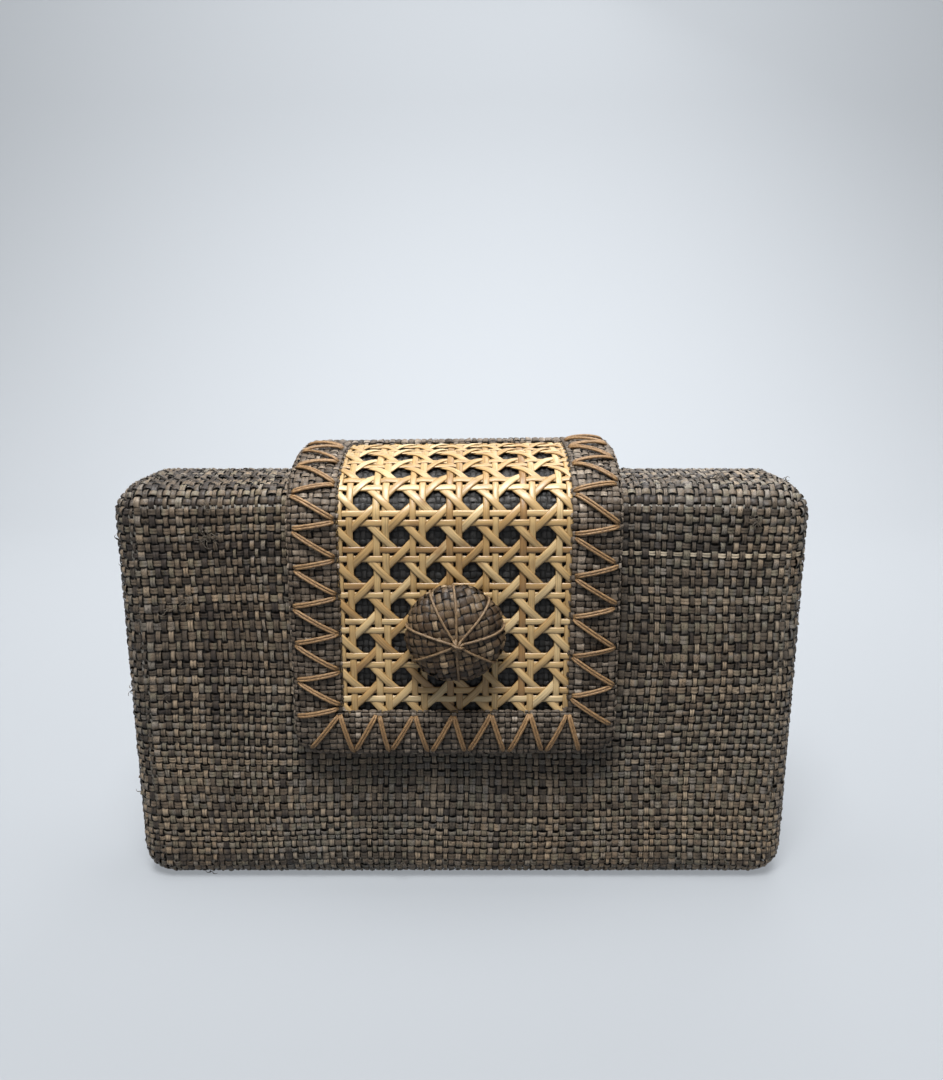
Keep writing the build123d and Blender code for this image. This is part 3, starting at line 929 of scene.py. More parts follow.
def on_route(route, a, run, depth, out_a=0.0, out_run=0.0, out_face=1.0):
    """Places and ways out on a route, from flat places and ways."""
    y, z, way_y, way_z = route.place(run)
    middle = (BAND_LOW[0] + BAND_HIGH[0]) / 2
    z = z - crest_drop(a + middle, z, route.tilt)
    at = np.stack(np.broadcast_arrays(a + middle, y + way_z * depth, z - way_y * depth), axis=-1)
    out_y, out_z = out_run * way_y - out_face * way_z, out_run * way_z + out_face * way_y
    outward = np.stack(np.broadcast_arrays(out_a, out_y, out_z), axis=-1)
    return at, outward


class BandCloth:
    """The border's cloth: rolled over the band's edge, turned under it and rolled down to the cane."""

    def __init__(self, settings):
        self.settings = settings
        self.route = band_route(0.0, settings)
        self.half = (BAND_HIGH[0] - BAND_LOW[0]) / 2
        self.window_half = self.half - settings.border_width
        self.window_foot = settings.border_height
        self.window_rear = self.route.run_at(0, BAND_HIGH[1] - settings.rear_radius, self.route.length / 2)
        self.fold = self.route.run_at(1, settings.fold_height, self.window_rear)
        roll, under = settings.outer_roll, settings.inner_roll
        self.quarter = roll * math.pi / 2
        self.wall = settings.thick - roll - under
        self.tuck = under * math.pi / 2
        self.reach = self.quarter + self.wall + self.tuck + settings.turn_width
        self.window_quarter = settings.window_roll * math.pi / 2

    def __call__(self, a, run, lift, sink=None):
        settings = self.settings
        roll, under = settings.outer_roll, settings.inner_roll
        middle = self.route.length / 2
        b = run - middle
        past, out_a, out_b, edge_a, edge_b = past_edge(
            a, b, self.half - roll, middle - roll, settings.corner - roll
        )
        turn = np.clip(past, 0, self.quarter) / roll
        fall = np.clip(past - self.quarter, 0, self.wall)
        second = np.clip(past - self.quarter - self.wall, 0, self.tuck) / under
        back = np.clip(past - self.quarter - self.wall - self.tuck, 0, None)
        off = roll * np.sin(turn) - under * (1 - np.cos(second)) - back
        depth = roll * (1 - np.cos(turn)) + fall + under * np.sin(second)
        at_a = np.where(past > 0, edge_a + out_a * off, a)
        at_b = np.where(past > 0, edge_b + out_b * off, b)
        whole = turn + second
        gaps = np.stack([self.window_half - np.abs(a), run - self.window_foot, self.window_rear - run])
        nearest = np.argmin(gaps, axis=0)
        within = np.min(gaps, axis=0)
        edge_out_a = np.where(nearest == 0, np.sign(a), 0.0)
        edge_out_b = np.where(nearest == 1, -1.0, np.where(nearest == 2, 1.0, 0.0))
        dip = np.clip(within, 0, self.window_quarter) / settings.window_roll
        inward = np.clip(within, 0, None) - settings.window_roll * np.sin(dip)
        at_a = at_a + edge_out_a * inward
        at_b = at_b + edge_out_b * inward
        below = np.clip(within - self.window_quarter, 0, None)
        depth = depth + settings.window_roll * (1 - np.cos(dip)) + below
        to_edge, to_window = np.clip(-past, 0, None), np.clip(-within, 0, None)
        part = to_edge / (to_edge + to_window + SAME)
        depth = depth - settings.pad * 4 * part * (1 - part)
        lean_a = out_a * np.sin(whole) - edge_out_a * np.sin(dip)
        lean_b = out_b * np.sin(whole) - edge_out_b * np.sin(dip)
        at, outward = on_route(
            self.route, at_a, at_b + middle, depth, lean_a, lean_b, np.cos(whole) * np.cos(dip)
        )
        on_tail = run > self.fold
        keep = past < np.where(on_tail, self.quarter + self.wall, self.reach)
        keep &= within < self.window_quarter + settings.window_fall
        drop = settings.sink if sink is None else sink
        return at + outward * (lift - drop)[..., None], outward, keep


# Operators


class CLUTCH_OT_materials(Operator):
    """Make the finishes and give the frame's own parts theirs"""

    bl_idname = "clutch.materials"
    bl_label = "Finishes"

    def execute(self, context):
        FINISH.update(materials())
        kept = {
            "front_board": "board",
            "back_board": "board",
            # The knob's core takes the dark backing finish: painted shade where it shows between the knob's
            # strips
            "knob_core": "backing",
            "front_lining": "cotton",
            "back_lining": "cotton",
            "hinge_strip": "cotton",
            "knob_ties": "cord",
        }
        for node, finish in kept.items():
            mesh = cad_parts[node].data
            mesh.materials.clear()
            mesh.materials.append(FINISH[finish])
        return {"FINISHED"}


# Pale strips of the front: cross or upright, its place, from where, to where, its tone
PALE_FRONT = (
    (1, 0.0535, 0.055, 0.150, 1.0),
    (0, 0.0858, -0.100, 0.024, 0.88),
    (0, -0.1070, -0.060, 0.030, 0.82),
    (1, -0.0590, -0.150, -0.060, 0.85),
)
# How near to that place a strip's middle lies
PALE_REACH = 0.0011
# Tones of upright and cross strips: mean, spread from strip to strip, and spread along a strip
TONE_MEANS, TONE_SPREADS, FLOAT_SPREADS = (0.53, 0.47), (0.22, 0.17), (0.10, 0.15)
# Least and most tone of a strip, and the most after all that is added
TONE_LIMITS, TONE_MOST = (0.06, 0.80), 0.84
# Slow change of the tone along a strip, and its slowest and fastest wave, in radians a metre
SLOW_SHARE, SLOW_WAVES = 0.10, (20.0, 90.0)
# Height and width over which a tray's tone falls as painted shade, how far upwards and leftwards, and what is
# added to it
FALL_HEIGHT, FALL_WIDTH, FALL_UP, FALL_LEFT, FOOT_TONE = 0.16, 0.14, 0.27, 0.08, 0.15
# Where those falls begin, and how much more the uprights differ at the foot
LEFT_START, FOOT_START, FOOT_SPREAD = 0.3, 0.3, 0.12
# Distance over which the dye of a strip changes
TONE_STEP = 0.0024


def along_strip(places, spread, rng):
    """Change of the dye along a strip."""
    marks = np.arange(places[0], places[-1] + TONE_STEP, TONE_STEP)
    return np.interp(places, marks, rng.normal(0.0, spread, len(marks)))


def tray_tones(pale):
    """Tones of a tray's strips: mostly middling, some dark, a few pale, and with painted shade that leaves
    them darker upwards and to the left, paler at the foot.
    """

    def tone_of(turned, middle, places, rng):
        a, b = (places, middle) if turned else (middle, places)
        more = 0.0 if turned else FOOT_SPREAD * np.clip(FOOT_START - b / FALL_HEIGHT, 0, 1)
        spread = TONE_SPREADS[turned] + more
        tone = np.clip(TONE_MEANS[turned] + spread * rng.normal(0.0, 1.0), *TONE_LIMITS)
        tone = tone + SLOW_SHARE * np.sin(places * rng.uniform(*SLOW_WAVES) + rng.uniform(*ANY_PHASE))
        tone = tone + along_strip(places, FLOAT_SPREADS[turned], rng)
        # Painted shade: darker upwards and towards the left
        tone = tone - FALL_UP * np.clip(0.5 + b / FALL_HEIGHT, 0, 1)
        tone = tone - FALL_LEFT * np.clip(LEFT_START - a / FALL_WIDTH, 0, 1) + FOOT_TONE
        tone = np.clip(tone, 0.0, TONE_MOST)
        for cross, place, begin, end, level in pale:
            if cross == turned and abs(middle - place) < PALE_REACH:
                tone = np.where((places > begin) & (places < end), level, tone)
        return tone

    return tone_of


class CLUTCH_OT_trays(Operator):
    """Weave the raffia cloth of the front and back trays"""

    bl_idname = "clutch.trays"
    bl_label = "Tray cloth"

    def execute(self, context):
        settings = context.scene.clutch_tray
        for (name, face, rim), doubled, pale in zip(TRAYS, (1.0, settings.back_split), (PALE_FRONT, ())):
            rng = np.random.default_rng(SEEDS[name])
            cloth, half_a, half_b = tray_cloth(face, rim, settings)
            warp, weft = (
                laid_strips(-half, half, width, gap, settings.spread, rng)
                for half, width, gap in (
                    (half_a, settings.warp_width, settings.warp_gap),
                    (half_b, settings.weft_width, settings.weft_gap),
                )
            )
            high = weft[0] / half_b
            weft = (half_b * (high + settings.opening * (high**2 - 1) / 2), weft[1])
            splits = (settings.split_warp * doubled, settings.split_weft * doubled)
            zones = weave(cloth, warp, weft, settings, settings.steps, rng, tray_tones(pale), splits)
            node = f"{name}_cover"
            strip_pieces(zones[0], name, ("upright", "cross"), "body", "box", node, "raffia_cloth")
            self.backing(name, face, rim, settings, (2 * half_a, 2 * half_b))
        return {"FINISHED"}

    def backing(self, name, face, rim, settings, cut):
        """A dark sheet of painted shade that shows between the strips, shaped as the tray."""
        sink = settings.backing_sink
        low = Vector((FRONT_LOW[0] + sink, min(face, rim), FRONT_LOW[2] + sink))
        high = Vector((FRONT_HIGH[0] - sink, max(face, rim), FRONT_HIGH[2] - sink))
        if face < rim:
            low.y += sink
        else:
            high.y -= sink
        flat, open_side = (low.y, high.y) if face < rim else (high.y, low.y)
        bpy.ops.mesh.primitive_cube_add(size=1.0, location=(low + high) / 2)
        obj = bpy.context.object
        obj.name = f"{name}_backing"
        obj.scale = high - low
        bpy.ops.object.transform_apply(location=True, rotation=True, scale=True)
        for top, corner in ((True, settings.top_corner), (False, settings.bottom_corner)):
            pick(obj, edge=lambda a, b: abs(a.y - b.y) > sink and (a.z > low.z + sink) == top)
            self.rounded(corner + settings.soften, settings.segments)
        pick(obj, edge=lambda a, b: abs(a.y - flat) < SAME and abs(b.y - flat) < SAME)
        self.rounded(settings.edge_round - sink, settings.segments)
        pick(obj, face=lambda centre: abs(centre.y - open_side) < SAME)
        bpy.ops.mesh.delete(type="FACE")
        bpy.ops.object.mode_set(mode="OBJECT")
        modify(obj, "SOLIDIFY", thickness=settings.backing_thick, offset=-1.0)
        bpy.ops.object.shade_smooth_by_angle(angle=SMOOTH_ANGLE)
        settle(obj, FINISH["backing"], "box", (f"{name}_cover",))

    @staticmethod
    def rounded(offset, segments):
        """Round the picked edges and leave edit mode."""
        bpy.ops.mesh.bevel(offset=offset, segments=segments, affect="EDGES")
        bpy.ops.object.mode_set(mode="OBJECT")


def pick(obj, edge=None, face=None):
    """Enter edit mode with the edges or faces that a test picks selected."""
    mesh = obj.data
    bpy.ops.object.mode_set(mode="EDIT")
    bpy.ops.mesh.select_mode(type="EDGE" if edge else "FACE")
    bpy.ops.mesh.select_all(action="DESELECT")
    bpy.ops.object.mode_set(mode="OBJECT")
    if edge:
        for item in mesh.edges:
            item.select = bool(edge(*(mesh.vertices[index].co for index in item.vertices)))
    if face:
        for item in mesh.polygons:
            item.select = bool(face(item.center))
    bpy.ops.object.mode_set(mode="EDIT")


def modify(obj, kind, **values):
    """Apply a modifier with these values."""
    modifier = obj.modifiers.new(kind.lower(), kind)
    for key, value in values.items():
        setattr(modifier, key, value)
    bpy.ops.object.modifier_apply(modifier=modifier.name)


def join_corners(obj):
    """Join the corners of a mesh that lie on each other."""
    bpy.ops.object.select_all(action="DESELECT")
    obj.select_set(True)
    bpy.context.view_layer.objects.active = obj
    pick(obj, face=lambda centre: True)
    bpy.ops.mesh.remove_doubles(threshold=SAME)
    bpy.ops.object.mode_set(mode="OBJECT")


# Mean tone of the band's strips, their spread from strip to strip, and their spread along a strip
BAND_TONE, BAND_FLOAT_SPREAD = (0.48, 0.23), 0.17


def band_tones(turned, middle, places, rng):
    """Tones of the border's strips, closer together than the trays'."""
    tone = float(np.clip(rng.normal(*BAND_TONE), 0.0, 1.0))
    return np.clip(tone + along_strip(places, BAND_FLOAT_SPREAD, rng), 0.0, 1.0)


# Lengths of the band: name, the body it rides on and the node it stands for
BAND_LENGTHS = (
    ("flap", "flap", "flap_binding"),
    ("fold", None, "flap_binding"),
    ("tail", "box", "flap_tail"),
)


class CLUTCH_OT_band(Operator):
    """Weave the flap's border, its fold and the tail behind"""

    bl_idname = "clutch.band"
    bl_label = "Band cloth"

    def execute(self, context):
        settings = context.scene.clutch_band
        rng = np.random.default_rng(SEEDS["band"])
        cloth = BandCloth(settings)
        past = cloth.reach - settings.outer_roll
        warp, weft = (
            laid_strips(low - past, high + past, width, settings.strip_gap, settings.spread, rng)
            for low, high, width in (
                (-cloth.half, cloth.half, settings.warp_width),
                (0.0, cloth.route.length, settings.weft_width),
            )
        )
        seams = [cloth.fold - settings.fold_reach, cloth.fold + settings.fold_reach]
        splits = (settings.split, settings.split)
        zones = weave(cloth, warp, weft, settings, settings.steps, rng, band_tones, splits, seams)
        ends = [
            (0.0, BAND_HIGH[1], settings.fold_height - settings.fold_reach),
            (0.0, BAND_HIGH[1], settings.fold_height + settings.fold_reach),
        ]
        for zone, (name, body, node) in zip(zones, BAND_LENGTHS):
            for obj in strip_pieces(zone, name, ("long", "cross"), "band", body, node, "band_raffia"):
                if body is None:
                    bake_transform(obj)
        self.backing(cloth, settings, seams, ends)
        self.base(cloth, settings, rng)
        self.core(settings)
        return {"FINISHED"}

    def backing(self, cloth, settings, seams, ends):
        """A dark sheet under the border's strips, in three lengths, painted shade that shows between them."""
        reach = cloth.reach - settings.outer_roll
        step = settings.backing_step
        half = cloth.half + reach
        bounds = [-reach, *seams, cloth.route.length + reach]
        for (name, body, node), low, high in zip(BAND_LENGTHS, bounds, bounds[1:]):
            ribbons = Ribbons()
            runs = np.linspace(low, high, max(2, int((high - low) / step) + 1))
            edges = np.linspace(-half, half, int(2 * half / step) + 1)
            for pair in zip(edges, edges[1:]):
                a = np.broadcast_to(np.array(pair)[None, :], (len(runs), 2))
                b = np.broadcast_to(runs[:, None], a.shape)
                grid, outward, keep = cloth(a, b, np.zeros(a.shape), settings.backing_sink)
                for begin, stop in runs_of(keep.all(axis=1)):
                    if stop - begin > 1:
                        cut = slice(begin, stop)
                        ribbons.add(grid[cut], runs[cut], 0.0, outward[cut, 0])
            obj = ribbons.piece(f"{name}_backing", FINISH["backing"], body, (node,), "band_raffia")
            join_corners(obj)
            if body is None:
                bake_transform(obj)
            cut = (2 * half, float(high - low))

    def base(self, cloth, settings, rng):
        """The raffia cloth that shows through the cane, its dark finish partly painted shade of the cane over
        it.
        """
        route = band_route(settings.base_depth, settings)
        tuck = settings.base_tuck
        half = cloth.window_half + tuck
        low = settings.border_height - tuck
        high = route.run_at(0, BAND_HIGH[1] - settings.rear_radius, route.length / 2) + tuck

        def flat(a, b, lift):
            at, outward = on_route(route, a, b, -lift)
            return at, outward, np.ones(a.shape, dtype=bool)

        warp, weft = (
            laid_strips(begin, end, settings.warp_width, settings.strip_gap, settings.spread, rng)
            for begin, end in ((-half, half), (low, high))
        )
        zone = weave(flat, warp, weft, settings, settings.base_steps, rng, band_tones)[0]
        strip_pieces(zone, "base", ("long", "cross"), "base", "flap", "flap_base", "band_raffia")

    def core(self, settings):
        """The stiff core between the cloths, hanging aslant with them, in the dark backing finish as painted
        shade where it shows.
        """
        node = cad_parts["flap_core"]
        mesh = node.data.copy()
        mesh.transform(node.matrix_world)
        obj = bpy.data.objects.new("flap_core_board", mesh)
        bpy.context.collection.objects.link(obj)
        join_corners(obj)
        for vertex in mesh.vertices:
            vertex.co.z -= crest_drop(vertex.co.x, vertex.co.z, settings.tilt)
        bpy.ops.object.shade_smooth_by_angle(angle=SMOOTH_ANGLE)
        settle(obj, FINISH["backing"], "flap", ("flap_core",))


# Section of a cane strand: share of its width, share of its thickness
STRAND = np.array(
    [
        (-0.5, -0.25),
        (-0.46, 0.22),
        (-0.28, 0.44),
        (0.0, 0.5),
        (0.28, 0.44),
        (0.46, 0.22),
        (0.5, -0.25),
        (0.0, -0.5),
    ]
)
# Place of a strand's crown in that list
CROWN = 3
# Mean tone of a strand and its spread, and how far apart in the cane's grain two strands lie
CANE_TONE, CANE_GRAIN = (0.56, 0.26), 0.5
# Slanting strands: places tried along one, fewest in the window, lines tried past it, fewest sections
SLANT_TRIES, SLANT_LEAST, SLANT_SPARE, SLANT_SECTIONS = 400, 8, 4, 4


class CLUTCH_OT_cane(Operator):
    """Weave the cane panel of paired and slanting strands"""

    bl_idname = "clutch.cane"
    bl_label = "Cane"

    def execute(self, context):
        settings = context.scene.clutch_cane
        band = context.scene.clutch_band
        rng = np.random.default_rng(SEEDS["cane"])
        cloth = BandCloth(band)
        self.route = band_route(settings.depth, band)
        self.settings = settings
        self.half = cloth.window_half + settings.tuck
        self.low = band.border_height - settings.tuck
        rear = self.route.run_at(0, BAND_HIGH[1] - band.rear_radius, self.route.length / 2)
        self.high = rear + settings.tuck
        self.first = settings.first_row - BAND_LOW[2] + band.hem_drop
        pairs, slants = Ribbons(), Ribbons()
        self.uprights(pairs, rng)
        self.levels(pairs, rng)
        self.slanting(slants, rng)
        for name, ribbons in (("cane_pairs", pairs), ("cane_slants", slants)):
            ribbons.piece(name, FINISH["cane"], "flap", ("cane_panel",), "cane")
        return {"FINISHED"}

    def strand(self, ribbons, a, run, lift, rng, width_share=1.0):
        """One strand along flat places, lifted over and under the others."""
        settings = self.settings
        width = settings.strand * (width_share * float(rng.normal(1.0, settings.uneven)))
        step_a, step_run = np.gradient(a), np.gradient(run)
        size = np.hypot(step_a, step_run)
        wide = width * STRAND[:, 0]
        thick = settings.strand_thick * STRAND[:, 1]
        flat_a = a[:, None] + (step_run / size)[:, None] * wide[None, :]
        flat_run = run[:, None] - (step_a / size)[:, None] * wide[None, :]
        depth = -(lift[:, None] + thick[None, :])
        grid, outward = on_route(self.route, flat_a, flat_run, depth)
        along = np.concatenate([[0.0], np.cumsum(np.hypot(np.diff(a), np.diff(run)))])
        tone = float(np.clip(rng.normal(*CANE_TONE), 0.0, 1.0))
        along = along + rng.uniform(0.0, CANE_GRAIN)
        ribbons.add(grid, along, tone, outward[:, CROWN], closed=True, capped=True)

    def pair_lift(self, off):
        """How far a paired strand is lifted at a distance from the middle of a crossing pair."""
        off = off / (self.settings.step / 2)
        return self.settings.pair_lift * off * np.exp((1 - off**2) / 2)

    def uprights(self, ribbons, rng):
        """Pairs of upright strands between the columns of holes."""
        settings = self.settings
        run = np.linspace(self.low, self.high, int((self.high - self.low) / settings.section))
        row = (run - self.first) / settings.row_pitch
        lift = self.pair_lift((row - np.floor(row) - 0.5) * settings.row_pitch)
        for column in range(settings.columns + 1):
            middle = (column - settings.columns / 2) * settings.pitch
            for side in (-1, 1):
                at = middle + side * settings.step / 2 + rng.normal(0.0, settings.wander)
                self.strand(ribbons, np.full_like(run, at), run, -side * lift, rng)

    def levels(self, ribbons, rng):
        """Pairs of level strands between the rows of holes."""
        settings = self.settings
        a = np.linspace(-self.half, self.half, int(2 * self.half / settings.section))
        column = a / settings.pitch - settings.columns / 2
        lift = self.pair_lift((column - np.floor(column + 0.5)) * settings.pitch)
        for row in range(-1, settings.rows):
            middle = self.first + (row + 0.5) * settings.row_pitch
            for side in (-1, 1):
                at = middle + side * settings.step / 2
                if self.low < at < self.high:
                    at = at + rng.normal(0.0, settings.wander)
                    self.strand(ribbons, a, np.full_like(a, at), side * lift, rng)

    def slanting(self, ribbons, rng):
        """Slanting strands both ways, past the holes' corners."""
        settings = self.settings
        edge = self.half / settings.pitch
        low, high = ((end - self.first) / settings.row_pitch for end in (self.low, self.high))
        spread = int(edge + high) + SLANT_SPARE
        for way in (1, -1):
            for line in range(-spread, spread):
                rows = np.linspace(low, high, SLANT_TRIES)
                rows = rows[np.abs(line + rows * way) < edge]
                if len(rows) < SLANT_LEAST:
                    continue
                size = (rows[-1] - rows[0]) * math.hypot(settings.pitch, settings.row_pitch)
                number = max(SLANT_SECTIONS, int(size / settings.section))
                rows = np.linspace(rows[0], rows[-1], number)
                lift = -way * settings.slant_lift * np.cos(2 * math.pi * rows)
                a, run = (line + rows * way) * settings.pitch, self.first + rows * settings.row_pitch
                self.strand(ribbons, a, run, lift, rng, settings.slant_share)


# A way that no thread follows, from which its rings are started
ANY_SIDE = (0.3, 0.5, 0.81)


def tube(path, radius, sides):
    """Rings around a path, each square to it."""
    way = np.gradient(path, axis=0)
    way /= np.linalg.norm(way, axis=1)[:, None]
    side = np.cross(way[0], ANY_SIDE)
    turn = np.linspace(0.0, 2 * math.pi, sides, endpoint=False)
    radius = np.broadcast_to(radius, (len(path),))
    rings = []
    for at, onward, size in zip(path, way, radius):
        side = side - onward * (side @ onward)
        side = side / np.linalg.norm(side)
        other = np.cross(onward, side)
        rings.append(at + size * (np.cos(turn)[:, None] * side + np.sin(turn)[:, None] * other))
    return np.array(rings)


def run_of(path):
    """Running length along a path."""
    return np.concatenate([[0.0], np.cumsum(np.linalg.norm(np.diff(path, axis=0), axis=1))])


def add_thread(ribbons, path, radius, sides, tone, run=None):
    """A round thread along a path, closed at both ends."""
    rings = tube(path, radius, sides)
    ribbons.add(rings, run_of(path) if run is None else run, tone, closed=True, capped=True)


# How steeply a stitch dives, and how far its two threads are apart at its ends and how soon they part
DIVE_POWER, APART_START, APART_RISE = 0.35, 0.4, 2.4
# How far its threads are turned over each other, in radians, how much more along it, and how high as a share
TWIST_START, TWIST_MORE, TWIST_SHARE = (-0.4, 0.4), (-0.5, 0.5), 0.6


class CLUTCH_OT_stitches(Operator):
    """Sew the zigzag around the border and the tail's running stitches"""

    bl_idname = "clutch.stitches"
    bl_label = "Stitches"

    def execute(self, context):
        settings = context.scene.clutch_stitch
        cloth = BandCloth(context.scene.clutch_band)
        self.settings, self.cloth = settings, cloth
        self.rng = np.random.default_rng(SEEDS["stitches"])
        ribbons = Ribbons()
        outer = cloth.half - settings.outer
        inner = cloth.window_half + settings.inner
        last = cloth.window_rear + settings.rear_reach
        part = settings.parting
        for side, start, pitch, lean in (
            (-1, settings.left_start, settings.left_pitch, settings.lean),
            (1, settings.right_start, settings.right_pitch, 1 - settings.lean),
        ):
            for step in range(int((last - start) / pitch)):
                low = start + step * pitch
                tip = low + lean * pitch
                self.stitch(ribbons, (side * outer, low), (side * inner, tip - part))
                self.stitch(ribbons, (side * inner, tip), (side * outer, low + pitch - part))
        self.foot(ribbons, outer)
        ribbons.piece("border_zigzag", FINISH["thread"], "flap", ("border_stitches",), "thread")
        self.tail()
        return {"FINISHED"}

    def foot(self, ribbons, outer):
        """Zigzag along the foot, with one stitch out to the left corner."""
        settings, cloth = self.settings, self.cloth
        low, high = settings.outer, cloth.window_foot - settings.inner
        pitch = 2 * cloth.window_half / settings.foot_count
        heads = -cloth.window_half + pitch * np.arange(settings.foot_count + 1)
        toes = heads + settings.lean * pitch
        part = settings.parting
        self.stitch(ribbons, (heads[0] - part, high), (settings.corner_in - outer, low + settings.corner_up))
        for head, toe in zip(heads, toes):
            self.stitch(ribbons, (head, high), (toe, low))
        for head, toe in zip(heads[1:], toes):
            self.stitch(ribbons, (toe + part, low), (head - part, high))

    def stitch(self, ribbons, begin, end):
        """One stitch: two threads side by side, diving in at both ends."""
        settings, rng = self.settings, self.rng
        part = np.linspace(0.0, 1.0, settings.points)
        jitter = rng.normal(0.0, settings.jitter, 4)
        a = begin[0] + jitter[0] + (end[0] + jitter[1] - begin[0] - jitter[0]) * part
        run = begin[1] + jitter[2] + (end[1] + jitter[3] - begin[1] - jitter[2]) * part
        size = math.hypot(end[0] - begin[0], end[1] - begin[1])
        side_a, side_run = (end[1] - begin[1]) / size, -(end[0] - begin[0]) / size
        lift = -settings.dive + (settings.lift + settings.dive) * np.sin(np.pi * part) ** DIVE_POWER
        twist = rng.uniform(*TWIST_START) + rng.uniform(*TWIST_MORE) * part
        apart = np.minimum(1.0, APART_START + APART_RISE * np.sin(np.pi * part))
        for hand in (-0.5, 0.5):
            off = hand * settings.gap * np.cos(twist) * apart
            high = lift + settings.thread / 2 + hand * settings.gap * np.sin(twist) * TWIST_SHARE
            path = self.cloth(a + side_a * off, run + side_run * off, high, 0.0)[0]
            add_thread(ribbons, path, settings.thread / 2, settings.sides, float(rng.random()))

    def tail(self):
        """Running stitches that hold the tail to the back."""
        settings = self.settings
        ribbons = Ribbons()
        middle = (BAND_LOW[0] + BAND_HIGH[0]) / 2
        a, end = (side[0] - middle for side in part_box("tail_stitches"))
        run = self.cloth.route.length - settings.tail_margin
        while a + settings.tail_length < end + settings.tail_slack:
            self.stitch(ribbons, (a, run), (a + settings.tail_length, run))
            a += settings.tail_length + settings.tail_gap
        ribbons.piece("tail_running", FINISH["thread"], "box", ("tail_stitches",), "thread")


# Outline of the knob: places along each half, and how flat its dome is
OUTLINE_STEPS, DOME_POWER = 61, 0.92
# Backing of the knob: sides, rings, distance of the first ring from the pole and share of the way to the last
DOME_SIDES, DOME_RINGS, DOME_START, DOME_SHARE = 48, 30, 0.0002, 0.999
# Laid threads: sections, start from the pole, share of the way to the foot and waves, in radians a metre
LAID_STEPS, LAID_START, LAID_SHARE, LAID_WAVES = 40, 0.0004, 0.97, 160.0
# Knot: sections of a turn, and the angle of its first turn
KNOT_STEPS, KNOT_START = 15, 0.3


class KnobCloth:
    """The knob's cloth: from the pole over the dome to the foot."""

    def __init__(self, settings):
        self.settings = settings
        radius = (KNOB_HIGH[0] - KNOB_LOW[0]) / 2
        dome = KNOB_HIGH[1] - KNOB_LOW[1] - settings.waist
        turn = np.linspace(0.0, math.pi / 2, OUTLINE_STEPS)
        upper = (radius * np.sin(turn) ** DOME_POWER, settings.waist + dome * np.cos(turn))
        lower = (settings.foot + (radius - settings.foot) * np.cos(turn), settings.waist * (1 - np.sin(turn)))
        self.line = np.vstack([np.stack(upper, axis=-1), np.stack(lower, axis=-1)[1:]])
        self.run = run_of(self.line)
        self.reach = float(self.run[-1])
        way = np.gradient(self.line, self.run, axis=0)
        self.way = way / np.linalg.norm(way, axis=1)[:, None]
        self.middle = ((KNOB_LOW[0] + KNOB_HIGH[0]) / 2, (KNOB_LOW[2] + KNOB_HIGH[2]) / 2)
        self.seat = KNOB_HIGH[1]

    def __call__(self, p, q, lift):
        """Places at flat offsets from the pole, across and up."""
        settings = self.settings
        away = np.hypot(p, q)
        turn = np.arctan2(q, p)
        gaps = [np.abs((turn - math.radians(at) + math.pi) % (2 * math.pi) - math.pi) for at in THREAD_ANGLES]
        near = np.min(gaps, axis=0) / settings.groove_width
        pull = 1 - settings.groove * np.exp(-(near**2)) * np.clip(away / settings.groove_start, 0, 1)
        inside = np.clip(away, 0, self.reach)
        out, high = (np.interp(inside, self.run, self.line[:, axis]) for axis in (0, 1))
        stand, fall = (np.interp(inside, self.run, self.way[:, axis]) for axis in (0, 1))
        fade = np.clip(1 - away / self.reach, 0, 1)
        x = self.middle[0] + settings.pole_across * fade + out * pull * np.cos(turn)
        z = self.middle[1] - settings.pole_down * fade + out * pull * np.sin(turn)
        outward = np.stack([-fall * np.cos(turn), -stand, -fall * np.sin(turn)], axis=-1)
        at = np.stack([x, self.seat - high, z], axis=-1)
        return at + outward * lift[..., None], outward, away < self.reach


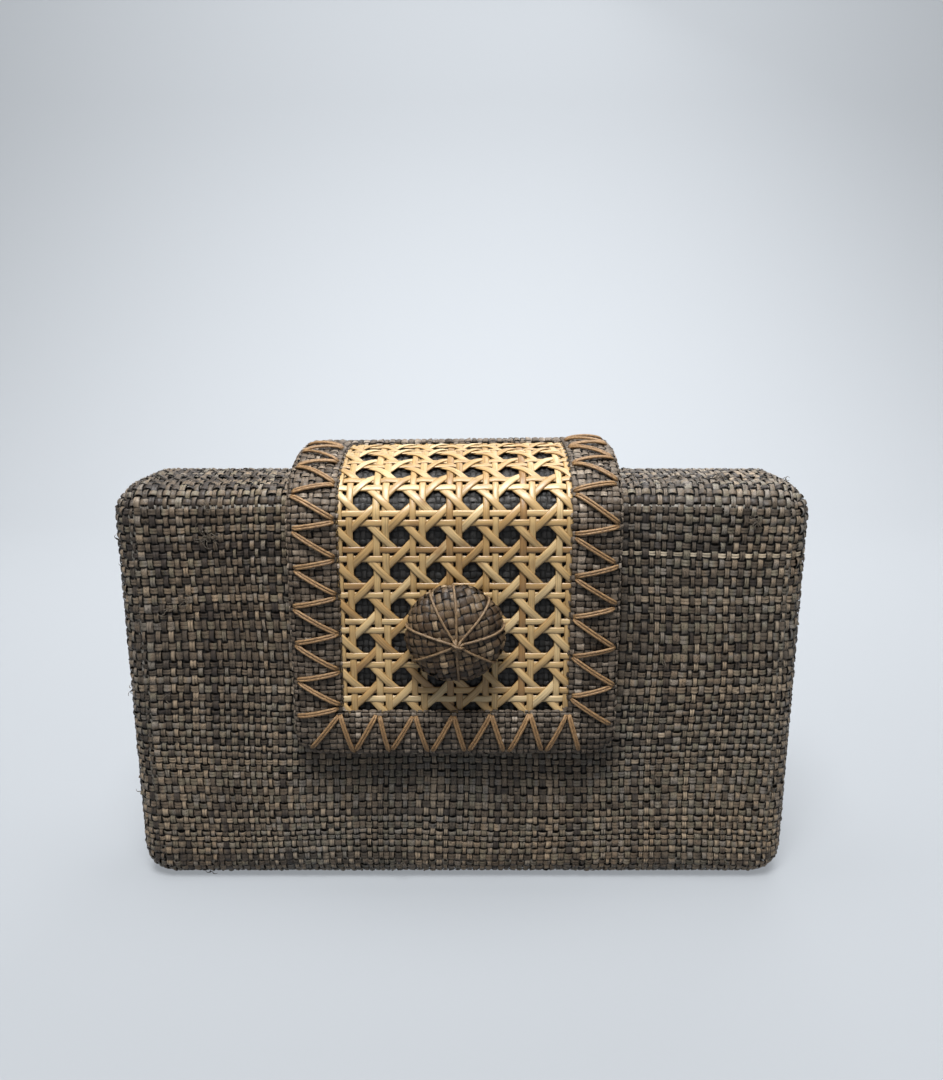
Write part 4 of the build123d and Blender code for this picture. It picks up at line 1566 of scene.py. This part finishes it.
class CLUTCH_OT_knob(Operator):
    """Cover the knob and lay its threads and knot"""

    bl_idname = "clutch.knob"
    bl_label = "Knob"

    def execute(self, context):
        settings = context.scene.clutch_knob
        cloth = KnobCloth(settings)
        rng = np.random.default_rng(SEEDS["knob"])
        reach = cloth.reach
        strips = [
            laid_strips(-reach, reach, settings.strip_width, settings.strip_gap, settings.spread, rng)
            for _ in range(2)
        ]
        cos, sin = math.cos(settings.weave_turn), math.sin(settings.weave_turn)

        def lowered(p, q, lift):
            return cloth(p * cos - q * sin, p * sin + q * cos, lift - settings.sink)

        zone = weave(lowered, *strips, settings, settings.steps, rng, band_tones)[0]
        strip_pieces(zone, "knob", ("upright", "cross"), "knob", "flap", "knob_cover", "knob_raffia")
        self.backing(cloth, settings)
        self.threads(cloth, settings, rng)
        self.knot(cloth, settings, rng)
        return {"FINISHED"}

    def backing(self, cloth, settings):
        """Dark dome under the strips, painted shade that shows between them."""
        ribbons = Ribbons()
        turn = np.linspace(0.0, 2 * math.pi, DOME_SIDES + 1)
        run = np.linspace(DOME_START, cloth.reach * DOME_SHARE, DOME_RINGS)
        p, q = run[:, None] * np.cos(turn)[None, :], run[:, None] * np.sin(turn)[None, :]
        grid, outward, _ = cloth(p, q, np.full(p.shape, -settings.backing_sink))
        ribbons.add(grid, run, 0.0, outward[:, 0])
        ribbons.piece("knob_backing", FINISH["backing"], "flap", ("knob_cover",), "knob_raffia")

    def threads(self, cloth, settings, rng):
        """Threads laid from the knot out to the foot."""
        ribbons = Ribbons()
        run = np.linspace(LAID_START, cloth.reach * LAID_SHARE, LAID_STEPS)
        lift = np.full(run.shape, settings.thread * settings.thread_lift)
        for at in THREAD_ANGLES:
            bend = settings.thread_bend * np.sin(run * LAID_WAVES + rng.uniform(*ANY_PHASE))
            bend = math.radians(at) + bend
            path = cloth(run * np.cos(bend), run * np.sin(bend), lift)[0]
            add_thread(ribbons, path, settings.thread / 2, settings.sides, float(rng.random()), run)
        ribbons.piece("knob_laid_threads", FINISH["cord"], "flap", ("knob_threads",), "thread")

    def knot(self, cloth, settings, rng):
        """A small knot of crossed turns on the pole."""
        ribbons = Ribbons()
        part = np.linspace(-1.0, 1.0, KNOT_STEPS)
        arch = np.sqrt(np.clip(1 - part**2, 0, 1))
        for index in range(settings.knot_turns):
            way = index * math.pi / settings.knot_turns + KNOT_START
            p = settings.knot_reach * part * math.cos(way) + settings.knot_shift * math.sin(way * 3)
            q = settings.knot_reach * part * math.sin(way)
            lift = settings.knot_foot + (settings.knot_rise + settings.knot_step * index) * arch
            path = cloth(p, q, lift)[0]
            add_thread(ribbons, path, settings.thread / 2, settings.sides, float(rng.random()))
        ribbons.piece("knob_tied_knot", FINISH["cord"], "flap", ("knob_knot",), "thread")


# Height of the lining above the band's underside
LINING_INSET = 0.00075
# Waves of the lining, in radians a metre: along its sewn edges, and across and along its middle
PUCKER_WAVES, SLACK_WAVES = 900.0, (140.0, 60.0)
# Pressed steps of a snap disc, from its rim in: share of its radius and depth
SNAP_STEPS = ((0.22, 0.0), (0.06, -0.0004), (0.40, 0.0), (0.05, -0.0003))


class CLUTCH_OT_lining(Operator):
    """Line the inside of the flap and set the two snap discs"""

    bl_idname = "clutch.lining"
    bl_label = "Lining and snaps"

    def execute(self, context):
        settings = context.scene.clutch_lining
        self.lining(context.scene.clutch_band, settings)
        for node, body in (("front_snap", "box"), ("flap_snap", "flap")):
            self.snap(node, body, settings)
        return {"FINISHED"}

    def lining(self, band, settings):
        """Cloth stretched under the flap's core, from the foot up to the fold."""
        route = band_route(band.thick - LINING_INSET, band)
        fold = route.run_at(1, band.fold_height, route.length / 2)
        half = (LINING_HIGH[0] - LINING_LOW[0]) / 2
        foot = LINING_LOW[2] - BAND_LOW[2] + band.hem_drop
        run = np.linspace(foot, fold, settings.sections)
        a = np.linspace(-half, half, settings.columns)
        across, along = np.meshgrid(a, run)
        sewn = np.exp(-(half - np.abs(across)) / settings.pucker_reach)
        depth = settings.pucker * np.sin(along * PUCKER_WAVES) * sewn
        depth = depth + settings.slack * np.sin(across * SLACK_WAVES[0] + along * SLACK_WAVES[1])
        grid, outward = on_route(route, across, along, depth, out_face=-1.0)
        ribbons = Ribbons()
        ribbons.add(grid, run, 0.5, outward[:, 0], across=a * MILLIMETRES)
        obj = ribbons.piece("flap_lining_cloth", FINISH["lining"], "flap", ("flap_lining",), "lining")

    def snap(self, node, body, settings):
        """A pressed metal disc with a rolled rim and a dished middle."""
        low, high = (Vector(side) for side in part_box(node))
        radius = (high.x - low.x) / 2
        bpy.ops.mesh.primitive_cylinder_add(
            vertices=settings.disc_sides,
            radius=radius,
            depth=high.y - low.y,
            location=(low + high) / 2,
            rotation=(math.pi / 2, 0.0, 0.0),
        )
        obj = bpy.context.object
        obj.name = f"{node}_disc"
        bpy.ops.object.transform_apply(location=True, rotation=True, scale=True)
        shown = low.y if body == "box" else high.y
        pick(obj, face=lambda centre: abs(centre.y - shown) < SAME)
        for inward, depth in SNAP_STEPS:
            bpy.ops.mesh.inset(thickness=radius * inward, depth=depth)
        bpy.ops.object.mode_set(mode="OBJECT")
        modify(obj, "BEVEL", width=settings.rim_round, segments=settings.rim_segments, limit_method="ANGLE")
        bpy.ops.object.shade_smooth_by_angle(angle=SMOOTH_ANGLE)
        settle(obj, FINISH["metal"], body, (node,))


# Knots and frays on the front: place across, place up from the middle, fibres, how far they spread, tone
FRAYS = (
    (0.1035, 0.0660, 16, 0.0022, 0.05),
    (0.0942, -0.0172, 9, 0.0014, 0.05),
    (0.0727, -0.0336, 9, 0.0013, 0.05),
    (0.1050, -0.0512, 8, 0.0013, 0.1),
    (-0.0892, 0.0599, 22, 0.0028, 0.10),
    (-0.0885, 0.0700, 10, 0.0020, 0.05),
    (-0.1053, 0.0333, 9, 0.0022, 0.80),
    (-0.0985, 0.0365, 8, 0.0022, 0.15),
    (-0.0230, -0.0700, 6, 0.0024, 0.75),
    (0.0100, 0.0830, 6, 0.0022, 0.1),
    (0.0790, 0.0900, 8, 0.0022, 0.05),
    (0.0930, 0.0880, 12, 0.0030, 0.05),
    (0.0620, 0.0890, 4, 0.0026, 0.3),
    (-0.0780, 0.0905, 9, 0.0020, 0.05),
    (-0.1350, 0.0480, 5, 0.0030, 0.3),
    (-0.1330, 0.0560, 5, 0.0022, 0.1),
)


# Stray tufts: fewest fibres and one past the most, and least and most tone
STRAY_FIBRES, STRAY_TONES = (1, 4), (0.1, 0.8)
# A fibre: its curl in radians, its length and the place of its root as shares of the tuft's spread
FIBRE_CURL, FIBRE_LENGTHS, ROOT_SPREAD = 2.2, (0.7, 1.8), 0.35
# How far a fibre stands out, how much of an arch it makes in radians, and how far its tone is off the tuft's
FIBRE_LIFTS, FIBRE_ARCHES, FIBRE_TONE = (0.0003, 0.0016), (1.2, 3.0), 0.08


class CLUTCH_OT_fibres(Operator):
    """Leave the frayed ends and stray fibres of the raffia"""

    bl_idname = "clutch.fibres"
    bl_label = "Stray fibres"

    def execute(self, context):
        settings = context.scene.clutch_fibre
        rng = np.random.default_rng(SEEDS["fibres"])
        for (name, face, rim), frays in zip(TRAYS, (FRAYS, ())):
            cloth = tray_cloth(face, rim, context.scene.clutch_tray)[0]
            ribbons = Ribbons()
            tufts = list(frays)
            for _ in range(settings.number):
                a = rng.uniform(-settings.reach, settings.reach)
                b = rng.uniform(-settings.lowest, settings.highest)
                number = int(rng.integers(*STRAY_FIBRES))
                tufts.append((a, b, number, settings.spread, float(rng.uniform(*STRAY_TONES))))
            for tuft in tufts:
                self.tuft(ribbons, cloth, settings, rng, *tuft)
            ribbons.piece(f"{name}_stray_fibres", FINISH["fibre"], "box", (f"{name}_cover",), "raffia_cloth")
        return {"FINISHED"}

    def tuft(self, ribbons, cloth, settings, rng, a, b, number, spread, tone):
        """A few curled fibres that stand out of one spot."""
        part = np.linspace(0.0, 1.0, settings.sections)
        radius = np.linspace(settings.root, settings.tip, len(part))
        for _ in range(number):
            curl = rng.uniform(0.0, 2 * math.pi) + rng.normal(0.0, FIBRE_CURL) * part
            step = spread * rng.uniform(*FIBRE_LENGTHS) / len(part)
            p = a + rng.normal(0.0, spread * ROOT_SPREAD) + np.cumsum(np.cos(curl)) * step
            q = b + rng.normal(0.0, spread * ROOT_SPREAD) + np.cumsum(np.sin(curl)) * step
            lift = rng.uniform(*FIBRE_LIFTS) * np.sin(part * rng.uniform(*FIBRE_ARCHES))
            path = cloth(p, q, settings.lift + lift)[0]
            path[:, 2] = np.maximum(path[:, 2], settings.clearance)
            own = float(np.clip(tone + rng.normal(0.0, FIBRE_TONE), 0, 1))
            add_thread(ribbons, path, radius, settings.sides, own)


# Lamps: name, place, where it points, size, and spread in degrees
LAMPS = (
    ("key", (-0.05, -0.45, 1.05), (0.0, 0.0, 0.07), 0.40, 180.0),
    ("fill", (0.5, -1.2, 0.8), (0.0, 0.0, 0.07), 1.2, 180.0),
    ("wash", (0.0, 0.35, 1.2), (0.0, 0.9, 0.05), 1.0, 100.0),
    ("rear", (0.35, 0.75, 0.90), (0.0, 0.0, 0.07), 0.6, 180.0),
)
# Floor and backdrop: width, height, place of the backdrop, round of the cove between them and its sections
FLOOR_SIZE, BACKDROP_HIGH, BACKDROP_BACK, COVE_ROUND, COVE_STEPS = 6.0, 3.0, 1.1, 0.5, 16
# Camera: width of its sensor in millimetres, and how near it sees
SENSOR_WIDTH, CLIP_START = 36.0, 0.01
# Colour of the even light all round
WORLD_TINT = (0.93, 0.96, 1.0, 1.0)


class CLUTCH_OT_stage(Operator):
    """Set the floor, the lights and the camera"""

    bl_idname = "clutch.stage"
    bl_label = "Stage"

    def execute(self, context):
        settings = context.scene.clutch_stage
        made = [self.floor(settings), *self.lights(settings), self.camera(context, settings)]
        self.world(context, settings)
        context.scene.view_settings.view_transform = "Standard"
        return {"FINISHED"}

    def floor(self, settings):
        """A pale floor that curves up into a backdrop."""
        bpy.ops.mesh.primitive_plane_add(size=FLOOR_SIZE, location=(0.0, 0.0, 0.0))
        obj = bpy.context.object
        obj.name = "floor"
        pick(obj, edge=lambda a, b: a.y > 0.0 and b.y > 0.0)
        bpy.ops.mesh.extrude_region_move(TRANSFORM_OT_translate={"value": (0.0, 0.0, BACKDROP_HIGH)})
        bpy.ops.object.mode_set(mode="OBJECT")
        for vertex in obj.data.vertices:
            vertex.co.y = min(vertex.co.y, BACKDROP_BACK)
        modify(obj, "BEVEL", width=COVE_ROUND, segments=COVE_STEPS)
        bpy.ops.object.shade_smooth()
        tints = (tuple(settings.floor_tint), tuple(settings.backdrop_tint))
        obj.data.materials.append(floor_material(*tints, settings.floor_glow))
        return obj

    def lights(self, settings):
        """A broad light overhead, a wide fill in front, a wash on the backdrop and a light behind."""
        made = []
        for name, place, goal, size, spread in LAMPS:
            bpy.ops.object.light_add(type="AREA", location=place)
            lamp = bpy.context.object
            lamp.name = name
            lamp.data.size = size
            lamp.data.spread = math.radians(spread)
            lamp.data.energy = getattr(settings, f"{name}_power")
            aim = Vector(goal) - Vector(place)
            lamp.rotation_euler = aim.to_track_quat("-Z", "Y").to_euler()
            made.append(lamp)
        return made

    def camera(self, context, settings):
        """The camera in the photo's view."""
        place = (settings.camera_across, -settings.camera_back, settings.camera_up)
        turn = (math.pi / 2 - settings.camera_pitch, 0.0, 0.0)
        bpy.ops.object.camera_add(location=place, rotation=turn)
        camera = bpy.context.object
        camera.data.sensor_width = SENSOR_WIDTH
        camera.data.sensor_fit = "AUTO"
        camera.data.lens = settings.lens
        camera.data.clip_start = CLIP_START
        context.scene.camera = camera
        return camera

    def world(self, context, settings):
        """Even light all round, and the backdrop's colour where the camera looks past it."""
        world = bpy.data.worlds.new("studio")
        world.use_nodes = True
        tree = world.node_tree
        light = tree.nodes["Background"]
        light.inputs["Color"].default_value = WORLD_TINT
        light.inputs["Strength"].default_value = settings.world_level
        sight = put(tree, "ShaderNodeBackground", {"Color": (*settings.backdrop_tint, 1.0)})
        shown = {0: seen_share(tree), 1: light.outputs[0], 2: sight.outputs[0]}
        either = put(tree, "ShaderNodeMixShader", shown)
        tree.links.new(either.outputs[0], tree.nodes["World Output"].inputs["Surface"])
        context.scene.world = world


class CLUTCH_PT_panel(Panel):
    """Settings of the clutch's looks"""

    bl_idname = "CLUTCH_PT_panel"
    bl_label = "Raffia Clutch"
    bl_space_type = "VIEW_3D"
    bl_region_type = "UI"
    bl_category = "Clutch"

    def draw(self, context):
        layout = self.layout
        for operator in OPERATORS:
            layout.operator(operator.bl_idname)
        for key, group in SETTINGS.items():
            column = layout.box().column()
            column.label(text=group.__doc__)
            for field in group.__annotations__:
                label = field.replace("_", " ").capitalize()
                column.prop(getattr(context.scene, key), field, text=label)


OPERATORS = (
    CLUTCH_OT_materials,
    CLUTCH_OT_trays,
    CLUTCH_OT_band,
    CLUTCH_OT_cane,
    CLUTCH_OT_stitches,
    CLUTCH_OT_knob,
    CLUTCH_OT_lining,
    CLUTCH_OT_fibres,
    CLUTCH_OT_stage,
)


def register():
    """Add the settings, the operators and the panel."""
    for key, group in SETTINGS.items():
        bpy.utils.register_class(group)
        setattr(bpy.types.Scene, key, PointerProperty(type=group))
    for operator in OPERATORS:
        bpy.utils.register_class(operator)
    bpy.utils.register_class(CLUTCH_PT_panel)


def unregister():
    """Take them away again."""
    bpy.utils.unregister_class(CLUTCH_PT_panel)
    for operator in reversed(OPERATORS):
        bpy.utils.unregister_class(operator)
    for key, group in SETTINGS.items():
        delattr(bpy.types.Scene, key)
        bpy.utils.unregister_class(group)


def main():
    """Build every piece in order."""
    register()
    bpy.ops.clutch.materials()
    bpy.ops.clutch.trays()
    bpy.ops.clutch.band()
    bpy.ops.clutch.cane()
    bpy.ops.clutch.stitches()
    bpy.ops.clutch.knob()
    bpy.ops.clutch.lining()
    bpy.ops.clutch.fibres()
    bpy.ops.clutch.stage()


if __name__ == "__main__":
    main()
